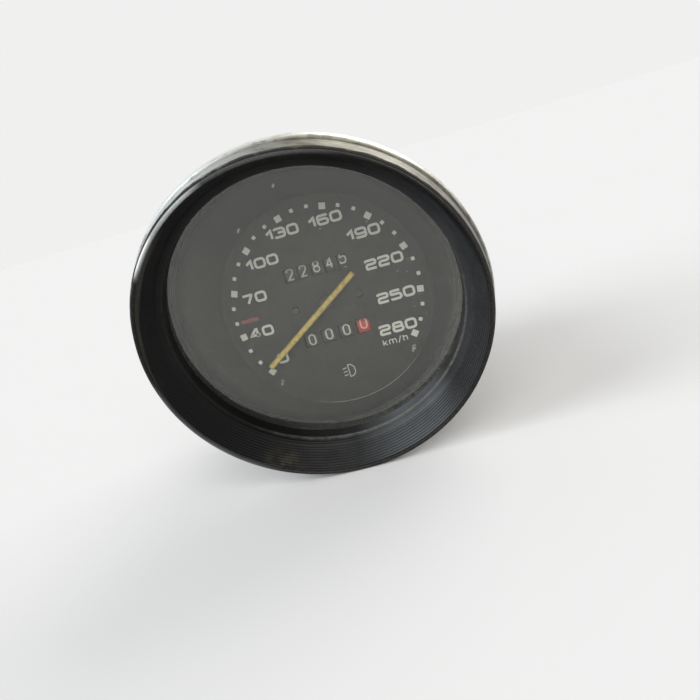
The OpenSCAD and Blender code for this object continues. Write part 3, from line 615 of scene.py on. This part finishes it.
def lip_wear_and_highlight():
    """Front edge of the hood, rubbed to brown and grey, with painted shade at its upper right and a painted
    highlight along its top and upper left.
    """
    f = Finish("lip_wear_and_highlight", (0.02, 0.019, 0.017), 0.4, specular=0.13)
    fine = f.noise(1500, 4, 0.7)
    cloud = f.noise(80, 4, 0.6)
    outer = f.between(f.radius(), (RIM_R - 0.9) * MM, (RIM_R - 0.3) * MM)
    brown = f.blend(f.between(fine, 0.4, 0.65), (0.007, 0.0066, 0.006), (0.028, 0.026, 0.022))
    grey = f.product(f.between(f.toward(-148), 0.87, 0.95), f.between(cloud, 0.3, 0.6, 0.5, 1),
                     f.between(outer, 0, 1, 0.3, 1))
    rubbed = f.blend(grey, brown, (0.16, 0.166, 0.17))
    # Painted shade at the upper right of the lip, most on its inner part.
    dark_side = f.product(f.between(f.toward(45), 0.6, 0.9), f.between(outer, 0, 1, 0.9, 0.3))
    shaded = f.blend(dark_side, rubbed, (0.0025, 0.0025, 0.0025))
    # Painted highlight along the top of the lip and at its upper left, whitest at the outer edge there.
    on_top = f.product(f.between(f.toward(92), 0.87, 0.98), 0.12)
    bright = f.math("MAXIMUM", f.between(f.toward(126), 0.935, 0.975), on_top)
    with_highlight = f.blend(f.product(bright, f.between(fine, 0.3, 0.6, 0.6, 1)), shaded, (0.42, 0.44, 0.45))
    brightest = f.product(f.between(f.toward(137), 0.99, 0.998), outer)
    f.colour(f.blend(brightest, with_highlight, (0.8, 0.82, 0.82)))
    f.rough(f.between(f.noise(400, 4), 0.3, 0.7, 0.3, 0.5))
    f.bump([(fine, 0.00002)])
    return f.material


def band_metal():
    """Rolled band: brushed round and streaky, with painted light that makes it cool and bright at the upper
    left and warm and dark to the right, where it is also tarnished and stained.
    """
    f = Finish("band_metal", (0.6, 0.6, 0.57), 0.3, metal=1.0)
    depth = f.parts()[1]
    lines = f.noise(1, 4, 0.6, at=f.round_about(5, 9000, 9000))
    wide = f.noise(1, 3, 0.6, at=f.round_about(7, 900, 900))
    cloud = f.noise(45, 6, 0.65, distortion=0.8)
    patch = f.noise(1, 5, 0.7, at=f.round_about(9, 250, 250))
    # Painted light: a cool bright reflection at the upper left turning to a warm dark one to the right,
    # where more tarnish gathers too.
    shaded_warm_side = f.between(f.toward(30), 0.1, 0.7)
    cool = f.blend(f.between(lines, 0.32, 0.68), (0.34, 0.375, 0.39), (0.88, 0.93, 0.95))
    warm = f.blend(f.between(wide, 0.32, 0.7), (0.07, 0.065, 0.052), (0.27, 0.255, 0.2))
    mixed = f.blend(shaded_warm_side, cool, warm)
    # The bead is paler than the rest: rubbed bright, and partly a painted highlight.
    bead = f.between(depth, (BAND_GROOVE + 0.6) * MM, (BAND_GROOVE + 2) * MM)
    bead_wear_and_highlight = f.blend(shaded_warm_side, (0.94, 0.96, 0.96), (0.9, 0.87, 0.77))
    rubbed = f.blend(f.product(bead, 0.9), mixed, bead_wear_and_highlight)
    tarnish = f.product(f.between(cloud, 0.44, 0.68), f.between(shaded_warm_side, 0, 1, 0.2, 0.85),
                        f.between(bead, 0, 1, 1, 0.25))
    aged = f.blend(tarnish, rubbed, (0.1, 0.083, 0.05))
    stained = f.blend(f.product(f.between(patch, 0.53, 0.66), f.between(bead, 0, 1, 0.8, 0.35)), aged,
                      (0.075, 0.068, 0.045))
    streaky = f.between(f.noise(1, 5, 0.7, at=f.round_about(14, 700, 700)), 0.35, 0.65)
    # Painted shade: darker streaks towards the right.
    darkest = f.product(f.between(f.toward(18), 0.88, 0.96), f.between(streaky, 0, 1, 0.35, 0.9))
    darkened = f.blend(darkest, stained, (0.05, 0.044, 0.034))
    # Dirt and painted shade along the front edge by the lip and in the groove; the same mask dulls the
    # metal there.
    frayed = f.math("ADD", depth, f.between(patch, 0.3, 0.7, -0.0006, 0.0008))
    at_front = f.between(frayed, (BAND_FRONT + 1.1) * MM, (BAND_FRONT + 0.3) * MM)
    in_groove = f.near(depth, BAND_GROOVE, 0.45)
    dirt_and_shade = f.math("MAXIMUM", at_front, f.product(in_groove, 0.85))
    f.colour(f.blend(dirt_and_shade, darkened, (0.022, 0.02, 0.017)))
    f.wire(f.between(dirt_and_shade, 0.2, 0.9, 1, 0.15), "Metallic")
    uneven = f.between(wide, 0.3, 0.7, 0.22, 0.36)
    dull = f.math("MAXIMUM", f.product(tarnish, 0.3), f.product(dirt_and_shade, 0.5))
    f.rough(f.math("ADD", uneven, dull, clamp=True))
    pits = f.product(f.noise(2600, 2), f.between(cloud, 0.5, 0.7))
    f.bump([(lines, 0.00002), (pits, 0.00002), (wide, 0.00005)])
    return f.material


def clear_glass():
    """Flat cover glass: it mirrors a little of the room, with dust mostly at its left and its edge."""
    f = Finish("glass", (1, 1, 1), 0.03)
    facing = f.add("ShaderNodeLayerWeight", {"Blend": 0.5}).outputs["Facing"]
    slanting = f.add("ShaderNodeMapping", {
        "Vector": f.place(), "Rotation": (0, math.radians(38), 0), "Scale": (1500, 1, 420)})
    streaks = f.noise(1, 3, 0.6, at=slanting.outputs["Vector"])
    outside = f.math("SUBTRACT", 1, f.add("ShaderNodeNewGeometry").outputs["Backfacing"])
    share = f.product(f.between(f.math("POWER", facing, 5), 0, 1, 0.08, 1),
                      f.between(streaks, 0.3, 0.7, 0.9, 1.1), outside)
    through = f.add("ShaderNodeBsdfTransparent", {"Color": (0.975, 0.98, 0.965, 1)}).outputs[0]
    mirror = f.add("ShaderNodeBsdfGlossy", {"Roughness": 0.015, "Color": (1, 1, 0.96, 1)}).outputs[0]
    clean = f.add("ShaderNodeMixShader", {0: share, 1: through, 2: mirror}).outputs[0]
    mottle = f.between(f.noise(650, 4, 0.65), 0.34, 0.66, 0, 1.2)
    spread = f.between(f.noise(60, 4, 0.6), 0.3, 0.7, 0.003, 0.013)
    left = f.between(f.parts()[0], 0.01, -0.045, 0, 0.016)
    far_left = f.between(f.parts()[0], -0.025, -0.046, 0, 0.02)
    middle = f.between(f.radius(), 0.038, 0.012, 0, 0.012)
    # Painted shade: the dust film thins near the edge at the lower left, so the glass shows darker there.
    thinned_for_shade = f.product(f.between(f.radius(), 0.0466, 0.0482), f.between(f.toward(-118), 0.45, 0.85), 0.85)
    thickness = f.math("ADD", f.math("ADD", spread, left), f.math("ADD", far_left, middle))
    film = f.product(mottle, thickness, f.math("SUBTRACT", 1, thinned_for_shade))
    low_right = f.between(f.toward(-50), 0.2, 0.9)
    edge = f.product(f.between(f.radius(), 0.0445, 0.0493), low_right, mottle, 0.12)
    specks = f.product(f.specks(190, 0.05), 0.3)
    dust = f.add("ShaderNodeBsdfDiffuse", {"Color": (0.55, 0.54, 0.5, 1)}).outputs[0]
    covered = f.math("MAXIMUM", f.math("MAXIMUM", film, edge), specks)
    flecks = ((27.2, -25.7, 0.6, 0.35), (27.6, -25, 0.6, 0.45), (28.2, -24.8, 0.5, 0.35),
              (48.4, 10.2, 0.6, 0.35), (39.9, 33, 0.5, 0.25), (0.8, 43.5, 0.6, 0.4),
              (-14.8, 32.8, 0.6, 0.35), (-20.3, -25, 0.7, 0.3))
    for x, z, size, thick in flecks:
        covered = f.math("MAXIMUM", covered, f.product(f.fleck(x, z, size), thick))
    dusty = f.add("ShaderNodeMixShader", {0: covered, 1: clean, 2: dust}).outputs[0]
    f.tree.nodes.remove(f.shader)
    f.tree.links.new(dusty, f.tree.nodes["Material Output"].inputs["Surface"])
    return f.material


def dial_black():
    """Matt black paint with a fine grain, faint brushing and a little dust."""
    f = Finish("dial_black", (0.028, 0.027, 0.026), 0.62, specular=0.3)
    weave = f.noise(1, 3, 0.6, at=f.stretched((900, 900, 260)))
    cloud = f.noise(130, 5, 0.65)
    base = f.blend(f.between(weave, 0.25, 0.75), (0.012, 0.012, 0.0117), (0.046, 0.045, 0.043))
    faded = f.blend(f.product(f.between(cloud, 0.4, 0.75), 0.5), base, (0.052, 0.05, 0.047))
    f.colour(f.blend(f.product(f.specks(260, 0.06), 0.35), faded, (0.3, 0.28, 0.24)))
    f.rough(f.between(cloud, 0.3, 0.7, 0.55, 0.72))
    f.bump([(f.noise(3000, 3), 0.000012)])
    return f.material


def baffle_black():
    """Matt black of the light baffle: paler at the left, with painted shade at the top and next to the
    glass.
    """
    f = Finish("baffle_black", (0.022, 0.022, 0.021), 0.65, specular=0.3)
    depth = f.parts()[1]
    cloud = f.noise(130, 5, 0.65)
    base = f.blend(f.between(cloud, 0.35, 0.65), (0.025, 0.025, 0.0244), (0.045, 0.044, 0.043))
    shade = f.between(depth, (HOOD_DEPTH + 7) * MM, (HOOD_DEPTH + 1) * MM)
    # Painted shade: darker at the top.
    sided = f.blend(f.between(f.toward(90), 0, 0.8, 0, 0.35), base, (0.018, 0.018, 0.0178))
    lighter = f.blend(f.between(f.toward(200), 0.2, 0.9, 0, 0.3), sided, (0.09, 0.088, 0.084))
    f.colour(f.blend(shade, lighter, (0.009, 0.009, 0.0088)))
    f.rough(f.between(cloud, 0.3, 0.7, 0.58, 0.74))
    f.bump([(f.noise(3000, 3), 0.000008)])
    return f.material


def edge_wear_and_glint():
    """Black edge of the light baffle, with a pale line along its lower side, partly rubbed through and
    partly a painted glint.
    """
    f = Finish("edge_wear_and_glint", (0.02, 0.02, 0.02), 0.45)
    rub_and_glint = f.product(f.between(f.toward(-78), 0.8, 0.97), f.between(f.noise(900, 3), 0.3, 0.6, 0.5, 1))
    f.colour(f.blend(rub_and_glint, (0.014, 0.014, 0.014), (0.5, 0.5, 0.46)))
    f.rough(f.between(f.noise(600, 3), 0.3, 0.7, 0.35, 0.6))
    f.bump([(f.noise(3000, 2), 0.00001)])
    return f.material


def ink(name, colour, wear=0.25):
    """Printed ink, a little uneven and thin in places."""
    f = Finish(name, colour, 0.55)
    uneven = f.between(f.noise(1500, 4, 0.7), 0.35, 0.7)
    f.colour(f.blend(f.math("MULTIPLY", uneven, wear), colour, tuple(c * 0.55 for c in colour)))
    f.rough(f.between(f.noise(800, 3), 0.3, 0.7, 0.48, 0.66))
    f.bump([(f.noise(4000, 2), 0.000008)])
    return f.material


def pointer_paint(name, bright, dull):
    """Paint of the pointer, darker where it has aged."""
    f = Finish(name, bright, 0.45, specular=0.3)
    f.colour(f.blend(f.between(f.noise(650, 4, 0.65), 0.38, 0.64), bright, dull))
    f.rough(f.between(f.noise(600, 3), 0.3, 0.7, 0.38, 0.55))
    f.bump([(f.noise(2500, 2), 0.00001)])
    return f.material


def can_steel():
    """Zinc-plated can: drawn along its axis, with a spangled bloom, scuffs and rust specks."""
    f = Finish("can_steel", (0.6, 0.6, 0.58), 0.38, metal=1.0)
    drawn = f.noise(1, 3, 0.6, at=f.round_about(160, 900, 60))
    cloud = f.noise(38, 6, 0.65, distortion=0.5)
    bloom = f.noise(110, 5, 0.7)
    base = f.blend(f.between(drawn, 0.3, 0.7), (0.3, 0.3, 0.295), (0.42, 0.42, 0.41))
    dull = f.blend(f.math("MULTIPLY", f.between(cloud, 0.42, 0.7), 0.6), base, (0.3, 0.285, 0.25))
    rust = f.math("MULTIPLY", f.between(bloom, 0.66, 0.74), f.between(cloud, 0.5, 0.65))
    f.colour(f.blend(rust, dull, (0.2, 0.11, 0.06)))
    uneven = f.between(bloom, 0.3, 0.7, 0.4, 0.56)
    f.rough(f.math("ADD", uneven, f.product(rust, 0.4), clamp=True))
    f.bump([(drawn, 0.000012), (f.noise(900, 3), 0.00001), (cloud, 0.0002)])
    return f.material


def winding_copper():
    """Lacquered wire, seen as fine turns round the coils."""
    f = Finish("copper", (0.55, 0.24, 0.09), 0.35, metal=0.9)
    wires = f.add("ShaderNodeTexWave", {"Vector": f.place(), "Scale": 900.0, "Distortion": 1.5},
                  wave_type="BANDS", bands_direction="Y").outputs["Fac"]
    f.colour(f.blend(wires, (0.3, 0.1, 0.04), (0.66, 0.32, 0.13)))
    f.rough(f.between(f.noise(500, 3), 0.3, 0.7, 0.28, 0.45))
    f.bump([(wires, 0.00008)])
    return f.material


def board_green():
    """Lacquered laminate with copper tracks that show through as a paler green."""
    f = Finish("board_green", (0.03, 0.13, 0.06), 0.35)
    cells = f.add("ShaderNodeTexVoronoi", {"Vector": f.place(), "Scale": 260.0},
                  feature="DISTANCE_TO_EDGE")
    track = f.math("LESS_THAN", cells.outputs["Distance"], 0.12)
    f.colour(f.blend(track, (0.02, 0.1, 0.045), (0.07, 0.24, 0.1)))
    f.rough(f.between(f.noise(400, 3), 0.3, 0.7, 0.28, 0.45))
    f.bump([(track, 0.00003)])
    return f.material


def rubber():
    """Soft black rubber of the gasket, matt and finely grained."""
    f = Finish("rubber", (0.02, 0.02, 0.02), 0.75)
    f.colour(f.blend(f.noise(500, 4), (0.007, 0.007, 0.007), (0.018, 0.0175, 0.017)))
    f.rough(f.between(f.noise(300, 3), 0.3, 0.7, 0.68, 0.85))
    f.bump([(f.noise(3500, 3), 0.00004)])
    return f.material


def lamp_glass():
    """Thin bulb glass, greyed inside by use."""
    f = Finish("lamp_glass", (0.92, 0.9, 0.84), 0.06)
    f.set("Transmission Weight", 0.85)
    f.set("IOR", 1.45)
    f.colour(f.blend(f.between(f.noise(220, 3), 0.4, 0.7), (0.95, 0.93, 0.88), (0.6, 0.55, 0.48)))
    f.rough(f.between(f.noise(600, 2), 0.3, 0.7, 0.04, 0.12))
    return f.material


def guide_clear():
    """Bluish clear plastic of the high beam's light guide."""
    f = Finish("guide_clear", (0.5, 0.58, 0.75), 0.1)
    f.set("Transmission Weight", 0.8)
    f.colour(f.blend(f.noise(180, 3), (0.42, 0.5, 0.7), (0.6, 0.66, 0.8)))
    f.rough(f.between(f.noise(700, 3), 0.3, 0.7, 0.06, 0.2))
    return f.material


finishes = {
    "can_steel": can_steel(),
    "collar_plastic": plastic("collar_plastic", (0.02, 0.02, 0.022), 0.5, dust=0.25),
    "hood_plastic": hood_plastic(),
    "band_metal": band_metal(),
    "glass": clear_glass(),
    "rubber": rubber(),
    "baffle_black": baffle_black(),
    "dial_black": dial_black(),
    "screw_black": metal("screw_black", (0.05, 0.05, 0.05), 0.45, stain=0.3),
    "guide_clear": guide_clear(),
    "pointer_yellow": pointer_paint("pointer_yellow", (0.66, 0.5, 0.14), (0.36, 0.275, 0.075)),
    "boss_black": plastic("boss_black", (0.018, 0.018, 0.018), 0.5),
    "spindle_steel": metal("spindle_steel", (0.66, 0.66, 0.64), 0.22, stain=0.1),
    "magnet": metal("magnet", (0.22, 0.22, 0.23), 0.45, stain=0.4),
    "brass": metal("brass", (0.72, 0.5, 0.2), 0.28, brush=(1, 0.1, 1), stain=0.35,
                   stain_colour=(0.28, 0.18, 0.08)),
    "frame_steel": metal("frame_steel", (0.62, 0.62, 0.6), 0.34, brush=(1, 1, 0.08), stain=0.3),
    "drum_black": plastic("drum_black", (0.046, 0.046, 0.044), 0.6, grain=0.00001, dust=0.05),
    "drum_red": plastic("drum_red", (0.45, 0.04, 0.028), 0.5, dust=0.05),
    "nylon": plastic("nylon", (0.72, 0.71, 0.64), 0.42, dust=0.2, dust_colour=(0.5, 0.44, 0.32)),
    "motor_steel": metal("motor_steel", (0.55, 0.55, 0.55), 0.3, brush=(1, 0.1, 1), stain=0.2),
    "copper": winding_copper(),
    "board_green": board_green(),
    "board_black": plastic("board_black", (0.02, 0.02, 0.021), 0.42),
    "plated_steel": metal("plated_steel", (0.62, 0.57, 0.42), 0.3, stain=0.5,
                          stain_colour=(0.4, 0.3, 0.18)),
    "holder_black": plastic("holder_black", (0.022, 0.022, 0.023), 0.45, dust=0.3),
    "lamp_glass": lamp_glass(),
    "blade_tin": metal("blade_tin", (0.66, 0.63, 0.52), 0.32, brush=(1, 0.1, 1), stain=0.45),
}
slot_of = {part["node"]: part["material_slot"] for part in frame["record"]["subparts"]}
for name, obj in nodes.items():
    obj.data.materials.clear()
    obj.data.materials.append(finishes[slot_of[name]])

white_ink = ink("white_ink", (0.66, 0.66, 0.61))
red_ink = ink("red_ink", (0.26, 0.07, 0.07))
drum_ink = ink("drum_ink", (0.62, 0.62, 0.57), wear=0.35)
pink_ink = ink("pink_ink", (0.8, 0.48, 0.43), wear=0.35)
sign_ink = ink("sign_ink", (0.5, 0.5, 0.47))
# Painted shade: a darker copy of the pointer paint for the blade's sides and chamfers.
pointer_side_shade = pointer_paint("pointer_side_shade", (0.4, 0.31, 0.08), (0.26, 0.2, 0.055))


# Pieces with a finer shape than their nodes

def hood():
    """Ribbed hood with round-topped ribs and soft edges."""
    def cone_r(d):
        return CONE_FRONT_R + (CONE_BACK_R - CONE_FRONT_R) * (d - CONE_FRONT) / (CONE_BACK - CONE_FRONT)

    corners = [
        (CONE_FRONT_R, CONE_FRONT - 0.1, 0), (CONE_FRONT_R + 0.1, CONE_FRONT - 0.6, 0.5),
        (CONE_FRONT_R + 0.5, 0.1, 0.5), (RIM_R - 0.35, 0, 0.3), (RIM_R, 0.35, 0.3), (RIM_R, LIP_T, 0.15),
        (BAND_SEAT_R, LIP_T, 0), (BAND_SEAT_R, BAND_BACK, 0), (RIM_R - 1.5, BAND_BACK, 0),
        (RIM_R - 1.5, HOOD_DEPTH, 0), (POCKET_R, HOOD_DEPTH, 0), (POCKET_R, GLASS_DEPTH, 0),
        (GLASS_VIEW_R, GLASS_DEPTH, 0), (GLASS_VIEW_R + 0.7, LEDGE_DEPTH + 1, 0.3),
        (GLASS_VIEW_R + 0.4, LEDGE_DEPTH + 0.7, 0.15), (GLASS_VIEW_R + 0.4, LEDGE_DEPTH + 0.2, 0.15),
        (LEDGE_R, LEDGE_DEPTH - 0.1, 0.25), (LEDGE_R + 1.6, LEDGE_DEPTH - 0.2, 0.3),
        (LEDGE_R + 1.9, LEDGE_DEPTH - 0.5, 0.3), (CONE_BACK_R - 0.1, CONE_BACK, 0.15),
    ]
    profile = filleted(corners, True)
    per_rib = 10
    span = CONE_BACK - CONE_PLAIN - CONE_FRONT
    for i in range(RIB_COUNT * per_rib, -1, -1):
        d = CONE_FRONT + span * i / (RIB_COUNT * per_rib)
        wave = 0.5 - 0.5 * math.cos(2 * math.pi * i / per_rib)
        profile.append(Vector((cone_r(d) + RIB_DEPTH * (1 - wave ** 0.7), d)))
    points, faces = turned(profile, ROUND_STEPS)
    plain = finishes["hood_plastic"]
    made = piece("ribbed_hood", points, faces, plain, "case", LEANED, 50)
    made.data.materials.append(lip_wear_and_highlight())
    for face in made.data.polygons:
        middle = face.center / MM
        if middle.y < LIP_T and math.hypot(middle.x, middle.z) > CONE_FRONT_R - 0.05:
            face.material_index = 1
    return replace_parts(made, "hood_bezel")


def band():
    """Rolled metal band, a little dented and out of true."""
    rise = (BEAD_R - BAND_SEAT_R) / 2
    middle = (BAND_GROOVE + BAND_BACK) / 2 + 0.4
    seat = BAND_SEAT_R + 0.02
    profile = filleted([
        (seat, BAND_BACK, 0), (seat, BAND_FRONT, 0), (RIM_R + 0.35, BAND_FRONT, 0.2),
        (RIM_R + 0.7, BAND_FRONT + 0.4, 0.6), (RIM_R + 0.95, BAND_GROOVE - 0.4, 0.4),
        (RIM_R + 0.6, BAND_GROOVE - 0.1, 0.2), (RIM_R + 0.6, BAND_GROOVE + 0.2, 0.2),
    ], False)
    for k in range(21):
        a = math.radians(150 - 150 * k / 20)
        r = BEAD_R - rise + rise * math.sin(a)
        profile.append(Vector((r, middle - (BAND_BACK - middle) * math.cos(math.pi - a))))

    def dents(a, r, y):
        if r < BAND_SEAT_R + 0.1:
            return 0
        spot = Vector((math.cos(a) * 3, math.sin(a) * 3, y * 0.12))
        small = Vector((math.cos(a) * 14, math.sin(a) * 14, y * 0.5))
        return -0.05 * abs(noise.noise(spot)) - 0.03 * abs(noise.noise(small))

    points, faces = turned(profile, 360, dents)
    made = piece("rolled_band", points, faces, finishes["band_metal"], "case", LEANED, 50)
    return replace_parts(made, "trim_band")


def pointer_blade():
    """Pointer with chamfered long edges and softly rounded ends."""
    half, edge = POINTER_W / 2, 0.36
    outline = filleted([(-half, -POINTER_TAIL, 0.25), (half, -POINTER_TAIL, 0.25),
                        (half, POINTER_LEN, 0.45), (-half, POINTER_LEN, 0.45)], True)
    levels = [(POINTER_BACK, 0), (POINTER_FRONT + 0.4, 0), (POINTER_FRONT + 0.06, edge),
              (POINTER_FRONT, edge + 0.1)]
    spin = Matrix.Rotation(math.radians(-POINTER_REST), 3, "Y")
    points, faces = [], []
    n = len(outline)
    for y, inset in levels:
        for p in outline:
            x = p.x * (half - inset) / half
            middle = (POINTER_LEN - POINTER_TAIL) / 2
            reach = (POINTER_LEN + POINTER_TAIL) / 2
            z = middle + (p.y - middle) * (reach - inset) / reach
            points.append(spin @ Vector((x + POINTER_ASIDE, y, z)))
    for level in range(len(levels) - 1):
        for i in range(n):
            j = (i + 1) % n
            low, top = level * n, (level + 1) * n
            faces.append((low + i, low + j, top + j, top + i))
    faces.append(tuple(range(n)))
    faces.append(tuple(range(3 * n, 4 * n)))
    made = piece("pointer_blade", points, faces, finishes["pointer_yellow"], "needle", sharp=25)
    # Painted shade on the sides and chamfers.
    made.data.materials.append(pointer_side_shade)
    for face in made.data.polygons[:2 * n]:
        face.material_index = 1
    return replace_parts(made, "pointer")


def pane():
    """Cover glass with a fine round of its own, so that what it mirrors stays even up to its edge."""
    edge = GLASS_VIEW_R + 1.3
    back = GLASS_DEPTH + GLASS_T
    profile = [(0.001, GLASS_DEPTH), (edge, GLASS_DEPTH), (edge, back), (0.001, back)]
    points, faces = turned(profile, ROUND_STEPS)
    made = piece("glass_pane", points, faces, finishes["glass"], "case", LEANED)
    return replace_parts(made, "glass")


def baffle():
    """Light baffle with a smooth wall from the leaning glass down to the round of the dial."""
    levels = 14
    outer_r = 46.4
    flange_y = DIAL_Y - 1.2
    upright = LEANED.inverted()
    angles = [2 * math.pi * i / ROUND_STEPS for i in range(ROUND_STEPS)]

    def leaned_ring(r):
        return [Vector((r * math.cos(a), HOOD_DEPTH, r * math.sin(a))) for a in angles]

    def flat_ring(r, y):
        return [upright @ (Vector((r * math.cos(a), y, r * math.sin(a))) * MM) / MM for a in angles]

    mouth, floor_edge = leaned_ring(GLASS_VIEW_R - 2.4), flat_ring(DIAL_VIEW_R, DIAL_Y)
    rings = [[a.lerp(b, k / levels) for a, b in zip(mouth, floor_edge)] for k in range(levels + 1)]
    rings += [flat_ring(outer_r, DIAL_Y), flat_ring(outer_r, flange_y),
              flat_ring(DIAL_VIEW_R + 4.5, flange_y), leaned_ring(GLASS_VIEW_R - 1.5)]
    faces = []
    for k in range(len(rings)):
        here = k * ROUND_STEPS
        there = (k + 1) % len(rings) * ROUND_STEPS
        for i in range(ROUND_STEPS):
            j = (i + 1) % ROUND_STEPS
            faces.append((here + i, here + j, there + j, there + i))
    points = [p for ring in rings for p in ring]
    black = finishes["baffle_black"]
    made = piece("smooth_baffle", points, faces, black, "case", LEANED)
    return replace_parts(made, "light_baffle")


def baffle_edge():
    """Rounded edge of the light baffle round the dial."""
    bead_r, sides = 0.13, 12
    profile = []
    for k in range(sides):
        a = 2 * math.pi * k / sides
        profile.append((DIAL_VIEW_R + 0.04 + bead_r * math.cos(a), DIAL_Y - 0.1 + bead_r * math.sin(a)))
    points, faces = turned(profile, ROUND_STEPS)
    return piece("baffle_edge", points, faces, edge_wear_and_glint(), "case")


hood()
band()
pointer_blade()
pane()
baffle()
baffle_edge()
dial_numbers(white_ink)
dial_marks(white_ink)
red_bar(red_ink)
speed_unit(white_ink)
beam_sign(sign_ink, finishes["dial_black"])
for i, (shown, lift) in enumerate(TOTAL_SHOWN):
    body = "total_%d" % (i + 1) if i < 4 else "total_units"
    x = TOTAL_X + (i - 2) * TOTAL_PITCH + FIGURE_SHIFT
    drum_figures("total_figures_%d" % (i + 1), body, x, TOTAL_Z, shown, lift, 2.7, 0.55, drum_ink)
for i, lift in enumerate(TRIP_LIFTS):
    body = "trip_%d" % (i + 1) if i < 3 else "trip_tenths"
    x = (i - 1.5) * TRIP_PITCH + FIGURE_SHIFT
    print_ink = drum_ink if i < 3 else pink_ink
    drum_figures("trip_figures_%d" % (i + 1), body, x, TRIP_Z, 0, lift, 2.9, 0.62, print_ink)


# Room, lights and camera

def floor():
    """Large pale sheet that the instrument rests on."""
    level = cad_box[0].z
    reach = 6
    mesh = bpy.data.meshes.new("floor")
    corners = [(-reach, -reach), (reach, -reach), (reach, reach), (-reach, reach)]
    mesh.from_pydata([(x, y, level) for x, y in corners], [], [(0, 1, 2, 3)])
    f = Finish("floor_paper", (0.86, 0.86, 0.855), 0.8, specular=0)
    f.colour(f.blend(f.noise(8, 3), (0.855, 0.855, 0.85), (0.865, 0.865, 0.86)))
    mesh.materials.append(f.material)
    made = bpy.data.objects.new("floor", mesh)
    bpy.context.scene.collection.objects.link(made)


def soft_sun(name, source, strength, spread, colour):
    """Broad even light. source is the direction from the object to the light."""
    lamp = bpy.data.lights.new(name, "SUN")
    lamp.energy = strength
    lamp.angle = math.radians(spread)
    lamp.color = colour
    made = bpy.data.objects.new(name, lamp)
    made.rotation_mode = "QUATERNION"
    made.rotation_quaternion = Vector(source).to_track_quat("Z", "Y")
    bpy.context.scene.collection.objects.link(made)


def room():
    """Even pale surroundings. The camera, mirrors and glass see them as pale as the floor."""
    world = bpy.data.worlds.new("room")
    world.use_nodes = True
    tree = world.node_tree
    link = tree.links.new
    ambient = tree.nodes["Background"]
    ambient.inputs["Color"].default_value = (0.97, 0.98, 1, 1)
    ambient.inputs["Strength"].default_value = 0.35
    shown = tree.nodes.new("ShaderNodeBackground")
    shown.inputs["Color"].default_value = (0.872, 0.876, 0.866, 1)
    path = tree.nodes.new("ShaderNodeLightPath")
    seen = path.outputs["Is Camera Ray"]
    for kind in ("Is Glossy Ray", "Is Transmission Ray"):
        either = tree.nodes.new("ShaderNodeMath")
        either.operation = "MAXIMUM"
        link(seen, either.inputs[0])
        link(path.outputs[kind], either.inputs[1])
        seen = either.outputs[0]
    mix = tree.nodes.new("ShaderNodeMixShader")
    link(seen, mix.inputs[0])
    link(ambient.outputs[0], mix.inputs[1])
    link(shown.outputs[0], mix.inputs[2])
    link(mix.outputs[0], tree.nodes["World Output"].inputs["Surface"])
    bpy.context.scene.world = world


def camera():
    """The photograph's viewpoint: a little above and to the right of the axis, rolled clockwise."""
    at = Vector((0.04975, -0.29771, 0.04983))
    aim = Vector((0.0028, 0.008, -0.0203))
    roll = math.radians(17.11)
    data = bpy.data.cameras.new("camera")
    data.sensor_width = 36
    data.lens = 43.714
    made = bpy.data.objects.new("camera", data)
    made.rotation_mode = "QUATERNION"
    made.location = at
    turn = (aim - at).to_track_quat("-Z", "Y")
    made.rotation_quaternion = turn @ Matrix.Rotation(-roll, 3, "Z").to_quaternion()
    bpy.context.scene.collection.objects.link(made)
    bpy.context.scene.camera = made


floor()
room()
soft_sun("window", (-0.7, -0.4, 0.6), 1.4, 40, (0.93, 0.97, 1))
soft_sun("front", (0.1, -0.85, 0.5), 1.7, 46, (1, 0.98, 0.95))
soft_sun("rear", (0.55, 0.75, 0.6), 1, 50, (1, 0.97, 0.92))
camera()
bpy.context.scene.view_settings.view_transform = "Standard"
